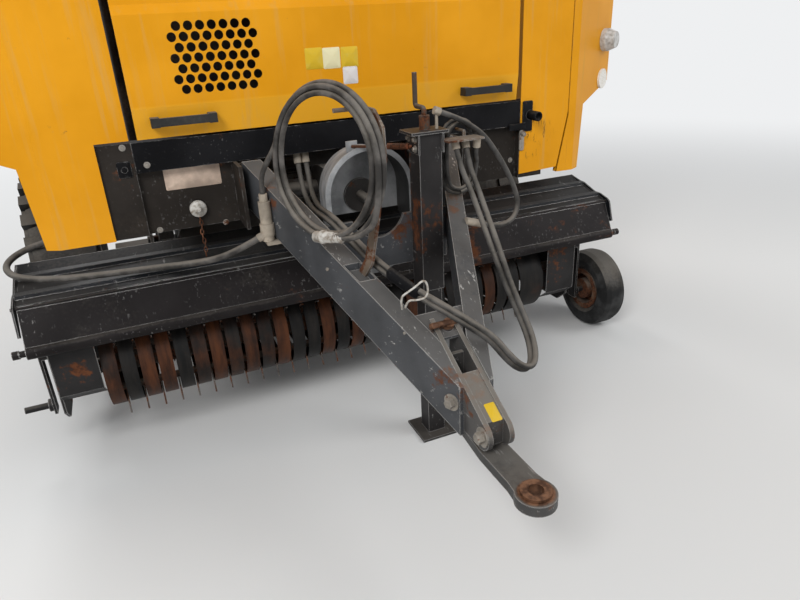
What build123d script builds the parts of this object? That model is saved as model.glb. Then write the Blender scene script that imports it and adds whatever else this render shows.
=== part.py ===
from math import asin, atan2, cos, degrees, hypot, pi, radians, sin, sqrt, tan, tau
import os

from build123d import *

# Round baler, parked on its wheels and its jack.
# Lengths in millimetres. x runs across, y runs back from the hitch eye, z is the height above ground.
# At export the model is lowered by the height of the hitch eye, so the eye is the origin.

# Driving dimensions of the coupling
eye_height = 400
eye_hole_r = 20
eye_ring_r = 50
tongue_thick = 30

# Bale chamber, and what is set out across from it
chamber_y = 2500
chamber_z = 1330
chamber_r = 625
chamber_half = 600
wall_thick = 6
roller_r = 100
roller_rib = 8
roller_wall = 6
roller_circle = chamber_r + roller_r + roller_rib
wall_top = 2190
rail_w = 60
rail_in = chamber_half + wall_thick + 34
rail_out = rail_in + rail_w
panel_half = chamber_half + 120

# Front of the body
panel_y = 1225
panel_bottom = 1170
sheet = 3

# Running gear
axle_y = 2375
wheel_r = 450
wheel_w = 290
wheel_x = 1095
rim_r = 195
spindle_r = 28
axle_tube = 90

# Tailgate
gate_hinge_y = 2480
gate_hinge_z = wall_top + 45
gate_gap = 10
gate_eye_r = 34
pin_r = 16
cyl_x = rail_in + 62
cyl_y = 2450
cyl_z = 900
cyl_eye_y = 2744
cyl_eye_z = 1866
eye_half = 20

# Pickup
reel_y = 1360
reel_z = 360
band_r = 165
band_pitch = 62
band_count = 28
band_first = -960
band_w = 50
tine_r = 3
tine_tip_r = 212
pickup_pivot_y = 1900
pickup_pivot_z = 640

# Gauge wheel
gauge_r = 190
gauge_w = 130
gauge_y = 1357
gauge_x = 1285
gauge_rim_r = 85

# Clearances
run_gap = 0.3
slide_gap = 0.3
move_gap = 6


def box(x0, x1, y0, y1, z0, z1):
    """A block between two corners."""
    return Pos((x0 + x1) / 2, (y0 + y1) / 2, (z0 + z1) / 2) * Box(abs(x1 - x0), abs(y1 - y0), abs(z1 - z0))


def side_plate(outline, x0, x1):
    """A plate across x, from an outline of (y, z) points."""
    low, high = min(x0, x1), max(x0, x1)
    return extrude(Plane.YZ.offset(low) * make_face(Polyline(*outline, close=True)), high - low)


def front_plate(outline, y0, y1):
    """A plate across y, from an outline of (x, z) points."""
    plane = Plane(origin=(0, y1, 0), x_dir=(1, 0, 0), z_dir=(0, -1, 0))
    return extrude(plane * make_face(Polyline(*outline, close=True)), y1 - y0)


def flat_plate(outline, z0, z1):
    """A plate across z, from an outline of (x, y) points."""
    return extrude(Plane.XY.offset(z0) * make_face(Polyline(*outline, close=True)), z1 - z0)


def group(solids):
    """Solids that don't touch, as one node."""
    return Compound(list(solids))


def rod_x(x0, x1, y, z, r):
    """A round bar along x."""
    return Pos((x0 + x1) / 2, y, z) * Rot(0, 90, 0) * Cylinder(r, abs(x1 - x0))


def rod_y(y0, y1, x, z, r):
    """A round bar along y."""
    return Pos(x, (y0 + y1) / 2, z) * Rot(90, 0, 0) * Cylinder(r, abs(y1 - y0))


def rod_z(z0, z1, x, y, r):
    """A round bar along z."""
    return Pos(x, y, (z0 + z1) / 2) * Cylinder(r, abs(z1 - z0))


def bent_rod(points, r, bend):
    """A round bar along a bent line."""
    path = FilletPolyline(*points, radius=bend)
    start = Plane(origin=path @ 0, z_dir=path % 0)
    return sweep(start * Circle(r), path=path)


def strip(points, thick, x0, x1):
    """Sheet of one thickness that follows a bent line of (y, z) points, from x0 to x1."""
    line = Polyline(*points)
    face = make_face(offset(line, thick, side=Side.LEFT))
    return extrude(Plane.YZ.offset(x0) * face, x1 - x0)


def ring_of(angle, r, y, z):
    """Point at an angle round an axis along x, counted from the rear upwards."""
    return y + r * cos(radians(angle)), z + r * sin(radians(angle))


nodes = {}


# Drawbar beams: two rectangular tubes that run down and together from the front frame to the hitch head
beam_w = 60
beam_h = 158
beam_rear_y = 1180
beam_front_y = 290
beam_ref_y = 1131
beam_ref_x = 383
beam_ref_z = 1042
beam_in_slope = 338 / 862
beam_rise = 485 / 862
head_half = 40


def beam_outer(y):
    """Distance of a beam's outer face from the middle, at y."""
    return beam_ref_x - (beam_ref_y - y) * beam_in_slope


def beam_top(y):
    """Height of a beam's top face, at y."""
    return beam_ref_z - (beam_ref_y - y) * beam_rise


beam_skew_w = beam_w * sqrt(1 + beam_in_slope**2)


def beam_inner(y):
    """Distance of a beam's inner face from the middle, at y."""
    return beam_outer(y) - beam_skew_w


def beam(side):
    """One beam, cut from a plate with its slope by the plan of the tube."""
    profile = [
        (beam_rear_y, beam_top(beam_rear_y)),
        (beam_rear_y, beam_top(beam_rear_y) - beam_h),
        (beam_front_y, beam_top(beam_front_y) - beam_h),
        (beam_front_y, beam_top(beam_front_y)),
    ]
    slope = side_plate(profile, 0, side * (beam_ref_x + beam_w))
    plan = [
        (side * beam_outer(beam_rear_y), beam_rear_y),
        (side * beam_outer(beam_front_y), beam_front_y),
        (side * max(beam_inner(beam_front_y), head_half), beam_front_y),
        (side * head_half, beam_ref_y - (beam_ref_x - beam_skew_w - head_half) / beam_in_slope),
        (side * beam_inner(beam_rear_y), beam_rear_y),
    ]
    return slope & flat_plate(plan, 0, beam_ref_z + beam_h)


nodes["beam_left"] = beam(-1)
nodes["beam_right"] = beam(1)

# Pocket in the top of the left beam, for the foot of the cord holder
pocket_y = 690
pocket_half = 32
pocket_deep = 22
pocket_wall = 6
pocket = side_plate(
    [
        (pocket_y - pocket_half, beam_top(pocket_y - pocket_half) - pocket_deep),
        (pocket_y - pocket_half, beam_top(pocket_y - pocket_half) + 10),
        (pocket_y + pocket_half, beam_top(pocket_y + pocket_half) + 10),
        (pocket_y + pocket_half, beam_top(pocket_y + pocket_half) - pocket_deep),
    ],
    -beam_ref_x,
    0,
)
pocket &= flat_plate(
    [
        (pocket_wall - beam_outer(pocket_y - pocket_half), pocket_y - pocket_half),
        (pocket_wall - beam_outer(pocket_y + pocket_half), pocket_y + pocket_half),
        (-pocket_wall - beam_inner(pocket_y + pocket_half), pocket_y + pocket_half),
        (-pocket_wall - beam_inner(pocket_y - pocket_half), pocket_y - pocket_half),
    ],
    0,
    beam_ref_z,
)
nodes["beam_left"] -= pocket

# Hitch head: two side plates with a round nose, and between them a sloped cover, its front and a cross web
head_plate = 15
head_rear = 500
nose_r = 42
nose_y = 200
cover_t = 10
cover_rear = 330
beam_angle = atan2(beam_rise, 1)
web_half = head_half - head_plate


def head_top(y):
    """Height of the side plates' upper edge, just below the beams' top faces, at y."""
    return beam_top(y) - 4


nose_top_y = nose_y - nose_r * sin(beam_angle)
nose_z = head_top(nose_top_y) - nose_r * cos(beam_angle)
head_low = nose_z - nose_r
head_outline = [
    (nose_top_y, head_top(nose_top_y)),
    (head_rear, head_top(head_rear)),
    (head_rear, head_top(head_rear) - beam_h + 14),
    (cover_rear, head_low),
    (nose_y, head_low),
    (nose_y, nose_z),
]
cover = [
    (nose_y - 8, head_low + 6),
    (nose_y - 8, head_top(nose_y - 8) - 3),
    (cover_rear, head_top(cover_rear) - 3),
    (cover_rear, head_top(cover_rear) - 3 - cover_t),
    (nose_y + 2, head_top(nose_y + 2) - 3 - cover_t),
    (nose_y + 2, head_low + 6),
]
head = side_plate(cover, -web_half, web_half)
head += box(-web_half, web_half, head_rear - 90, head_rear - 76, head_low + 70, head_top(head_rear - 90) - 30)
for side in (-1, 1):
    head += side_plate(head_outline, side * web_half, side * head_half)
    head += rod_x(side * web_half, side * head_half, nose_y, nose_z, nose_r)
nodes["hitch_head"] = head

# Tongue: a forged flat bar with the towing eye, and a web that is bolted between the head's plates
tongue_low = eye_height - tongue_thick / 2
tongue_high = eye_height + tongue_thick / 2
tongue_half = 42
tongue_rear = 330
tongue_web_top = head_low + 50
boss_extra = 16
tongue = box(-tongue_half, tongue_half, 45, 200, tongue_low, tongue_high)
tongue += flat_plate(
    [(-tongue_half, 200), (tongue_half, 200), (web_half + 5, tongue_rear), (-web_half - 5, tongue_rear)],
    tongue_low,
    tongue_high,
)
tongue += Pos(0, 0, eye_height) * Cylinder(eye_ring_r + 4, tongue_thick)
tongue += flat_plate([(-50, 0), (50, 0), (tongue_half, 60), (-tongue_half, 60)], tongue_low, tongue_high)
tongue += box(run_gap - web_half, web_half - run_gap, nose_y + 6, tongue_rear, eye_height, tongue_web_top)
tongue += Pos(0, 0, eye_height) * Cylinder(eye_ring_r - 10, tongue_thick + boss_extra)
tongue -= Pos(0, 0, eye_height) * Cylinder(eye_hole_r, tongue_thick * 2)
nodes["hitch_tongue"] = tongue

# Junction plate across the beams behind the head, with its draw pin and T-shaped grip
joint_rear = 525
joint_drop = 9
joint_t = 8
joint_pin_y = 470
joint_pin_x = 4
plan = [
    (-beam_inner(joint_rear), joint_rear),
    (beam_inner(joint_rear), joint_rear),
    (head_half, head_rear - 60),
    (-head_half, head_rear - 60),
]
joint_plate = flat_plate(plan, 0, beam_ref_z) & side_plate(
    [
        (head_rear - 60, beam_top(head_rear - 60) - joint_drop),
        (joint_rear, beam_top(joint_rear) - joint_drop),
        (joint_rear, beam_top(joint_rear) - joint_drop - joint_t),
        (head_rear - 60, beam_top(head_rear - 60) - joint_drop - joint_t),
    ],
    -beam_ref_x,
    beam_ref_x,
)
pin_place = Pos(joint_pin_x, joint_pin_y, beam_top(joint_pin_y) - joint_drop) * Rot(degrees(beam_angle), 0, 0)
joint_plate += pin_place * Pos(0, 0, 9) * Cylinder(17, 26)
joint_plate += pin_place * Pos(-18, 0, 22) * Rot(0, 90, 0) * Cylinder(9, 84)
joint_plate -= nodes["hitch_head"]
joint_plate = joint_plate.solids().sort_by(SortBy.VOLUME)[-1]

# Cross plate between the beams, which carries the jack and dips under the drive line
jack_x = 142
jack_y = 877
sleeve_w = 80
sleeve_wall = 6
cross_y = jack_y + sleeve_w / 2
cross_t = 12
pto_z = 905
cross_low = 700
cross_high = 880
cross_dip = 95
cross_blank = flat_plate(
    [
        (-beam_inner(cross_y), cross_y),
        (beam_inner(cross_y), cross_y),
        (beam_inner(cross_y + cross_t), cross_y + cross_t),
        (-beam_inner(cross_y + cross_t), cross_y + cross_t),
    ],
    cross_low,
    cross_high,
)
cross_plate = cross_blank - rod_y(cross_y - 5, cross_y + cross_t + 5, -20, pto_z, cross_dip)
nodes["drawbar_plates"] = group([joint_plate, cross_plate])

# Jack: a square sleeve with cheeks and a head plate, its crank, and the leg that slides in it
sleeve_low = 610
sleeve_high = 1150
head_t = 9
cheek_t = 6
cheek_low = sleeve_high - 62
leg_w = sleeve_w - 2 * sleeve_wall - 2 * slide_gap
sleeve_out = sleeve_w / 2
sleeve = box(jack_x - sleeve_out, jack_x + sleeve_out, jack_y - sleeve_out, jack_y + sleeve_out, sleeve_low, sleeve_high)
sleeve -= Pos(jack_x, jack_y, (sleeve_low + sleeve_high) / 2) * Box(
    sleeve_w - 2 * sleeve_wall, sleeve_w - 2 * sleeve_wall, sleeve_high - sleeve_low + 2
)
sleeve += box(jack_x - 68, jack_x + 62, jack_y - 50, jack_y + 46, sleeve_high, sleeve_high + head_t)
for side in (-1, 1):
    x_cheek = jack_x + side * sleeve_out
    sleeve += box(x_cheek, x_cheek + side * cheek_t, jack_y - 48, jack_y + sleeve_out, cheek_low, sleeve_high)
nodes["jack_sleeve"] = sleeve
crank_base = sleeve_high + head_t
crank_tower = 44
crank_arm_z = crank_base + 66
crank_arm = 66
crank_grip = 104
crank = rod_z(crank_base, crank_base + crank_tower, jack_x, jack_y, 17)
crank += bent_rod(
    [
        (jack_x, jack_y, crank_base + crank_tower - 5),
        (jack_x, jack_y, crank_arm_z),
        (jack_x, jack_y + crank_arm, crank_arm_z),
        (jack_x, jack_y + crank_arm, crank_arm_z + crank_grip),
    ],
    8,
    12,
)
nodes["jack_crank"] = crank
leg_high = 770
foot_half = 75
foot_thick = 10
leg_half = leg_w / 2
leg = box(jack_x - leg_half, jack_x + leg_half, jack_y - leg_half, jack_y + leg_half, foot_thick, leg_high)
leg += box(jack_x - foot_half, jack_x + foot_half, jack_y - foot_half, jack_y + foot_half, 0, foot_thick)
nodes["jack_leg"] = leg

# Front frame: a sill under the hood, and a bolted plate each side with its corner post and beam flange
sill_high = panel_bottom - 8
sill_low = 1065
plate_y = panel_y + 30
plate_low = 850
post_half = 850
post_in = 735
flange_x = 412
flange_t = 12
nodes["front_sill"] = box(-post_in, post_in, panel_y, panel_y + 60, sill_low, sill_high)
rail_low = 700
rail_high = 820
for side, name in ((-1, "front_plate_left"), (1, "front_plate_right")):
    post_front = panel_y + sheet + (move_gap if side < 0 else 0)
    plate = box(side * flange_x, side * post_in, plate_y, plate_y + 8, plate_low, sill_low)
    plate += box(side * post_in, side * post_half, post_front, panel_y + 60, plate_low, sill_high)
    plate += box(side * flange_x, side * (flange_x + flange_t), beam_rear_y - 60, plate_y, plate_low, sill_low)
    plate += box(side * beam_inner(beam_rear_y), side * (flange_x + flange_t), beam_rear_y, beam_rear_y + 10, plate_low + 30, sill_low)
    nodes[name] = plate

# Chassis rails along each side, from the corner posts back past the axle
rail_front = 1660
rail_rear = 2640
rails = {side: box(side * rail_in, side * rail_out, rail_front, rail_rear, rail_low, rail_high) for side in (-1, 1)}

# Axle: a square tube with a spindle at each end, held to the rails by plates
axle_half = 900
spindle_end = wheel_x + 75
axle = box(-axle_half, axle_half, axle_y - axle_tube / 2, axle_y + axle_tube / 2, wheel_r - axle_tube / 2, wheel_r + axle_tube / 2)
for side in (-1, 1):
    axle += rod_x(side * (axle_half - 10), side * spindle_end, axle_y, wheel_r, spindle_r)
    axle += box(side * rail_in, side * rail_out, axle_y - 90, axle_y + 90, wheel_r + axle_tube / 2, rail_low)
nodes["axle"] = axle

# Chamber walls: the fixed front half of each side of the bale chamber
split_top_y = gate_hinge_y + 50
split_low_y = 2690
split_low_z = 560
wall_outline = [
    (panel_y + 60, plate_low + 30),
    (panel_y + 60, sill_high),
    (1500, sill_high),
    (1500, wall_top - 170),
    (1680, wall_top),
    (split_top_y, wall_top),
    (split_low_y, split_low_z),
    (2600, 500),
    (2320, 500),
    (1960, 640),
    (1660, 760),
    (1560, plate_low + 30),
]
for side, name in ((-1, "chamber_wall_left"), (1, "chamber_wall_right")):
    nodes[name] = side_plate(wall_outline, side * chamber_half, side * (chamber_half + wall_thick))
    for angle in (95, 115, 135, 155, 175, 195, 255, 275):
        y, z = ring_of(angle, roller_circle, chamber_y, chamber_z)
        nodes[name] += rod_x(side * (chamber_half + wall_thick), side * (chamber_half + wall_thick + 22), y, z, 42)
    nodes[name] += box(side * (chamber_half + wall_thick), side * rail_in, 1900, rail_rear - 40, rail_low, rail_high)


def roller(angle):
    """A steel chamber roller: a tube with gripping ribs along it."""
    y, z = ring_of(angle, roller_circle, chamber_y, chamber_z)
    section = Circle(roller_r)
    for k in range(8):
        section += Rot(0, 0, k * 45 + angle) * Pos(roller_r, 0) * Rectangle(2 * roller_rib, 14)
    solid = extrude(section - Circle(roller_r - roller_wall), 2 * chamber_half)
    return Pos(-chamber_half, y, z) * Rot(0, 90, 0) * solid


front_angles = (95, 115, 135, 155, 175, 195, 255, 275)
gate_angles = (75, 55, 35, 15, -5, -25, -45, -65)
nodes["front_rollers"] = group(roller(a) for a in front_angles)
nodes["gate_rollers"] = group(roller(a) for a in gate_angles)

# Front bulkhead between the chamber walls, behind the hood
bulkhead_y = 1510
nodes["bulkhead"] = box(
    -chamber_half, chamber_half, bulkhead_y, bulkhead_y + wall_thick, sill_low - 55, wall_top - 190
)

# Roof sheet over the front half of the chamber, behind the hood
hood_hinge_y = 1900
roof_z = wall_top + wall_thick
hood_hinge_z = roof_z + 19
roof_half = panel_half - 12
roof_rear = gate_hinge_y - 130
small_pin = 6
shield_hinge_x = panel_half + 2
shield_hinge_z = roof_z
hood_ears = (-560, 560)
shield_ears = (hood_hinge_y + 60, roof_rear - 60)
roof = box(-roof_half, roof_half, hood_hinge_y + 16, roof_rear, wall_top, roof_z)
for x in hood_ears:
    ear = box(x - 4, x + 4, hood_hinge_y - 12, hood_hinge_y + 40, roof_z, hood_hinge_z + 14)
    roof += ear - rod_x(x - 9, x + 9, hood_hinge_y, hood_hinge_z, small_pin + run_gap)
for side in (-1, 1):
    for y in shield_ears:
        ear = box(side * (roof_half - 40), side * (shield_hinge_x + 10), y - 4, y + 4, wall_top - 12, roof_z + 14)
        roof += ear - rod_y(y - 9, y + 9, side * shield_hinge_x, shield_hinge_z, small_pin + run_gap)
nodes["roof"] = roof

# Crop floor from the pickup up to the chamber
nodes["feed_floor"] = side_plate(
    [(1730, 565), (2190, 590), (2190, 602), (1730, 577)], -chamber_half, chamber_half
)

# Gearbox on the front frame, with the splined input shaft and the cross shaft to the chain drive
gear_front = 1160
gear_rear = 1400
gear_low = 850
gear_high = 1000
shaft_r = 17.5
shaft_len = 90
gearbox = box(-105, 105, gear_front + 20, gear_rear, gear_low, gear_high)
gearbox += rod_y(gear_front - 20, gear_front + 20, 0, pto_z, 62)
gearbox += rod_y(gear_front - 20 - shaft_len, gear_front - 20, 0, pto_z, shaft_r)
chain_x = -(chamber_half + wall_thick + 64)
shaft_y = 1350
cross_r = 30
gearbox += rod_x(chain_x - 20, 0, shaft_y, pto_z, cross_r)
nodes["chamber_wall_left"] -= rod_x(chain_x, -chamber_half + 10, shaft_y, pto_z, cross_r + run_gap)
gearbox += box(-150, 150, 1300, 1400, gear_high, sill_low)
gearbox += box(-150, 150, panel_y + 60, 1400, sill_low, sill_low + 12)
nodes["gearbox"] = gearbox

# Chain drive outside the left wall, from the cross shaft up to a chamber roller
drive_teeth = 11
roller_teeth = 17
chain_pitch = 31.75
chain_inner = 19
pin_roller_r = 9.5
link_t = 4
link_half = 12
link_tip = 14
tooth_rise = 7
tooth_floor = 7
tooth_tip = 2.5
driven_y, driven_z = ring_of(195, roller_circle, chamber_y, chamber_z)
span = hypot(driven_y - shaft_y, driven_z - pto_z)
span_angle = atan2(driven_z - pto_z, driven_y - shaft_y)


def loop(pitch):
    """The chain line's length at a pitch, its two pitch radii, and the angle by which its runs spread."""
    small = drive_teeth * pitch / tau
    large = roller_teeth * pitch / tau
    spread = asin((large - small) / span)
    return 2 * span * cos(spread) + small * (pi - 2 * spread) + large * (pi + 2 * spread), small, large, spread


link_count = 2 * round(loop(chain_pitch)[0] / chain_pitch / 2)
link_run = chain_pitch
for step in range(12):
    link_run = loop(link_run)[0] / link_count
small_r, large_r, spread = loop(link_run)[1:]


def chain_pin(k):
    """Pin k of the chain, counted from where the upper run leaves the drive sprocket."""
    way = k * link_run
    rise = span_angle + spread
    drop = span_angle - spread
    run = span * cos(spread)
    if way < run:
        return shaft_y - small_r * sin(rise) + way * cos(rise), pto_z + small_r * cos(rise) + way * sin(rise)
    way -= run
    if way < large_r * (pi + 2 * spread):
        turn = rise + pi / 2 - way / large_r
        return driven_y + large_r * cos(turn), driven_z + large_r * sin(turn)
    way -= large_r * (pi + 2 * spread)
    if way < run:
        return driven_y + large_r * sin(drop) - way * cos(drop), driven_z - large_r * cos(drop) - way * sin(drop)
    turn = drop - pi / 2 - (way - run) / small_r
    return shaft_y + small_r * cos(turn), pto_z + small_r * sin(turn)


pins = [chain_pin(k) for k in range(link_count)]


def link_plate(k):
    """Outline of link k: a long hexagon from pin to pin."""
    (ay, az), (by, bz) = pins[k], pins[(k + 1) % link_count]
    long = hypot(by - ay, bz - az)
    ey, ez = (by - ay) / long, (bz - az) / long
    return [
        (ay - link_tip * ey, az - link_tip * ez),
        (ay - link_half * ez, az + link_half * ey),
        (by - link_half * ez, bz + link_half * ey),
        (by + link_tip * ey, bz + link_tip * ez),
        (by + link_half * ez, bz - link_half * ey),
        (ay + link_half * ez, az - link_half * ey),
    ]


chain_parts = []
for k in range(link_count):
    inside = chain_inner / 2 + link_t * (k % 2)
    for side in (-1, 1):
        chain_parts.append(side_plate(link_plate(k), chain_x + side * inside, chain_x + side * (inside + link_t)))
    pin_out = chain_inner / 2 + 2 * link_t
    pin = extrude(Plane.YZ.offset(chain_x - pin_out) * Pos(*pins[k]) * RegularPolygon(pin_roller_r, 6), 2 * pin_out)
    chain_parts.append(pin)


def sprocket(teeth, radius, y, z, near, bore):
    """A toothed plate whose gaps hold the chain's rollers, in line with the given pin."""
    first = atan2(near[1] - z, near[0] - y)
    floor_r = radius - pin_roller_r - run_gap
    points = []
    for k in range(teeth):
        gap = first + k * tau / teeth
        tip = tau / teeth / 2 - tooth_tip / radius
        for turn, r in (
            (gap - tooth_floor / radius, floor_r),
            (gap + tooth_floor / radius, floor_r),
            (gap + tip, radius + tooth_rise),
            (gap + tau / teeth - tip, radius + tooth_rise),
        ):
            points.append((y + r * cos(turn), z + r * sin(turn)))
    thick = chain_inner / 2 - 1.5
    return side_plate(points, chain_x - thick, chain_x + thick) - rod_x(chain_x - 60, chain_x + 60, y, z, bore)


driven_stub = rod_x(chain_x - 16, -(chamber_half + wall_thick + 22), driven_y, driven_z, cross_r)
drive_sprocket = sprocket(drive_teeth, small_r, shaft_y, pto_z, pins[-1], cross_r + run_gap)
driven_pin = min(pins, key=lambda p: -p[0])
driven_sprocket = sprocket(roller_teeth, large_r, driven_y, driven_z, driven_pin, cross_r - 1) + driven_stub
nodes["chain_drive"] = group([chain_parts[0].fuse(*chain_parts[1:]), drive_sprocket, driven_sprocket])

# Guard: a tall oval hood of plastic round the input shaft, with a lip at its mouth
guard_half = 150
guard_mid_z = 868
guard_rise = 68
guard_front = 1030
guard_rear = gear_front - 10
guard_t = 4
guard_lip = 14


def oval(y0, y1, grow):
    """A block with the guard's oval section, grown outwards by a distance."""
    shape = rod_y(y0, y1, 0, guard_mid_z + guard_rise, guard_half + grow)
    shape += rod_y(y0, y1, 0, guard_mid_z - guard_rise, guard_half + grow)
    half = guard_half + grow
    return shape + box(-half, half, y0, y1, guard_mid_z - guard_rise, guard_mid_z + guard_rise)


guard = oval(guard_front, guard_rear, 0) + oval(guard_front, guard_front + guard_t, guard_lip)
guard -= oval(guard_front - 5, guard_rear - guard_t, -guard_t)
guard -= rod_y(guard_rear - 20, guard_rear + 20, 0, pto_z, 63)
# Its lower rear is cut away, which leaves room for the wind guard when the pickup is raised
guard -= side_plate(
    [(1068, 600), (1068, 750), (guard_rear + 1, 848), (guard_rear + 1, 600)],
    -guard_half - guard_lip,
    guard_half + guard_lip,
)
guard += box(-70, -30, guard_front + 20, guard_front + 26, guard_mid_z + guard_rise + guard_half - 8, cheek_low + 30)
nodes["shaft_guard"] = guard

# Spring rod from the jack's cheek to the ear on the guard
spring_z = cheek_low + 22
spring_r = 11
spring_turns = 11
spring_start = (jack_x - sleeve_out - cheek_t, jack_y, spring_z)
spring_end = (-50, guard_front + 20, spring_z - 8)
spring_dx = spring_end[0] - spring_start[0]
spring_dy = spring_end[1] - spring_start[1]
spring_len = hypot(spring_dx, spring_dy, spring_end[2] - spring_start[2])
coil_len = 78
coil_step = coil_len / spring_turns
coil_line = [(0, 0), (0, spring_r)]
for k in range(spring_turns):
    coil_line += [((k + 0.5) * coil_step, spring_r - 3), ((k + 1) * coil_step, spring_r)]
coil_line += [(coil_len, 0)]
spring = Pos(10, 0, 0) * revolve(Plane.XY * make_face(Polyline(*coil_line, close=True)), Axis.X, 360)
spring += Pos(spring_len / 2, 0, 0) * Rot(0, 90, 0) * Cylinder(5, spring_len - 2 * run_gap)
spring_turn = degrees(atan2(spring_dy, spring_dx))
spring = Pos(*spring_start) * Rot(0, 0, spring_turn) * Rot(0, 2.5, 0) * spring
spring -= nodes["jack_sleeve"] + nodes["shaft_guard"]
nodes["spring_rod"] = spring.solids().sort_by(SortBy.VOLUME)[-1]

# Hood: the front panel with its folds and vent, and the lid behind it, which open as one
hood_out = panel_half - 8
hood_step_z = 1534
hood_line = [
    (panel_y, panel_bottom),
    (panel_y - 12, panel_bottom + 95),
    (panel_y - 12, hood_step_z),
    (panel_y + 6, hood_step_z + 28),
    (panel_y + 14, hood_hinge_z - 275),
    (panel_y + 90, hood_hinge_z - 95),
    (panel_y + 220, hood_hinge_z - 10),
    (hood_hinge_y - 12, hood_hinge_z - 3),
]
hood = strip(hood_line, sheet, -hood_out, hood_out)
vent_rows = 7
vent_pitch = 36
vent_row = 31
vent_hole_r = 14
vent_x = -427
vent_z = 1405
for row in range(vent_rows):
    count = 7 + row % 2
    for k in range(count):
        x = vent_x + (k - (count - 1) / 2) * vent_pitch
        z = vent_z + ((vent_rows - 1) / 2 - row) * vent_row
        hood -= rod_y(panel_y - 30, panel_y + 20, x, z, vent_hole_r)
for x in hood_ears:
    lug = 10 if x > 0 else -10
    hood -= box(x - 10, x + 10, hood_hinge_y - 40, hood_hinge_y, hood_hinge_z - 30, hood_hinge_z + 30)
    hood += rod_x(x - lug, x + 2 * lug, hood_hinge_y, hood_hinge_z, small_pin)
    hood += box(x + lug, x + 2 * lug, hood_hinge_y - 30, hood_hinge_y, hood_hinge_z - small_pin, hood_hinge_z + small_pin)
nodes["hood"] = hood
handle_x = 560
handle_len = 205
handle_reach = 42
handle_h = 26
handle_z = panel_bottom + 52
handle_face = panel_y - 12 * (handle_z - panel_bottom) / 95 - sheet
grips = []
for side in (-1, 1):
    x0 = side * handle_x - handle_len / 2
    grip = box(x0, x0 + handle_len, handle_face - handle_reach, handle_face - handle_reach + 14,
               handle_z - handle_h / 2, handle_z + handle_h / 2)
    for foot_x in (x0, x0 + handle_len - 26):
        grip += box(foot_x, foot_x + 26, handle_face - handle_reach, handle_face + 6,
                    handle_z - handle_h / 2 - 2, handle_z + handle_h / 2 + 2)
    grips.append((grip - hood).solids().sort_by(Axis.Y)[0])
nodes["hood_handles"] = group(grips)

# Side shields: a front corner and a side skin each, hinged along the roof
shield_out = 1290
corner_in = 1010
corner_deep = 150
shoulder_z = wall_top - 110
shield_in = panel_half + 18
shield_low_front = 850
shield_rear = split_top_y - 20
shield_low = 1010
corner_low = 1190
shield_top_z = shield_hinge_z


def shield(side, front_edge, notch):
    """Side skin with its corner: the shell of a block with a slanted front corner and a bevelled top."""

    def block(gap, edge_x):
        """The block, drawn in by a gap: its plan, its front outline and its side outline in common."""
        out = shield_out - gap
        low = shield_low_front - (1 if gap else 0)
        rear = shield_rear + (1 if gap else 0)
        plan = [
            (side * edge_x, panel_y + gap),
            (side * (corner_in - gap / 3), panel_y + gap),
            (side * out, corner_y + gap / 2),
            (side * out, rear),
            (side * edge_x, rear),
        ]
        front = [
            (side * edge_x, low),
            (side * edge_x, shield_top_z - gap),
            (side * (shield_out - 150), shield_top_z - 24 - gap),
            (side * out, shoulder_z - gap),
            (side * out, low),
        ]
        profile = [
            (panel_y + gap, low),
            (panel_y + gap, shoulder_z - 40),
            (panel_y + 110 + gap, shield_top_z + 1 - gap),
            (rear, shield_top_z + 1 - gap),
            (rear, low),
        ]
        shape = flat_plate(plan, low, shield_top_z) & front_plate(front, panel_y, rear)
        return shape & side_plate(profile, 0, side * shield_out)

    corner_y = panel_y + corner_deep
    skin = block(0, shield_hinge_x + 12) - block(sheet, shield_hinge_x + 11)
    seam_z = shoulder_z + move_gap if front_edge > shield_in else shield_top_z
    skin -= box(
        side * (shield_hinge_x + 5), side * front_edge, panel_y - 5, panel_y + sheet + 1, shield_low_front - 5, seam_z
    )
    for y in shield_ears:
        skin -= box(side * shield_hinge_x, side * (shield_hinge_x + 40), y - 10, y + 10, shield_top_z - 40, shield_top_z + 20)
        skin += rod_y(y - 10, y + 22, side * shield_hinge_x, shield_hinge_z, small_pin)
        skin += box(side * shield_hinge_x, side * (shield_hinge_x + 30), y + 10, y + 22, shield_top_z - 4, shield_top_z + 2)
    # The lower edge of the side rises in front of the wheel
    skin -= side_plate(
        [
            (corner_y + 1, shield_low_front - 10),
            (corner_y + 1, corner_low),
            (corner_y + 230, shield_low),
            (shield_rear + 10, shield_low),
            (shield_rear + 10, shield_low_front - 10),
        ],
        side * (shield_hinge_x + 5),
        side * (shield_out + 10),
    )
    # The outer lower corner of the front is cut off at a slant
    skin -= front_plate(
        [
            (side * 1075, 1116),
            (side * shield_out, corner_low),
            (side * (shield_out + 50), corner_low),
            (side * (shield_out + 50), 800),
            (side * 1050, 800),
        ],
        panel_y - 5,
        corner_y + 1,
    )
    if notch:
        skin -= box(side * 600, side * 842, panel_y - 5, panel_y + sheet + 1, shield_low_front - 1, panel_bottom)
    return skin


nodes["shield_left"] = shield(-1, shield_in, True)
column_out = 975
nodes["column_right"] = front_plate(
    [
        (shield_in, 866),
        (column_out - 50, 874),
        (column_out - 4, 1100),
        (column_out - 4, shoulder_z),
        (shield_in, shoulder_z),
    ],
    panel_y,
    panel_y + sheet,
)
nodes["shield_right"] = shield(1, column_out, False) - front_plate(
    [(column_out - 52, 840), (column_out, 1100), (column_out - 60, 1100)], panel_y - 5, panel_y + sheet + 1
)

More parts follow.
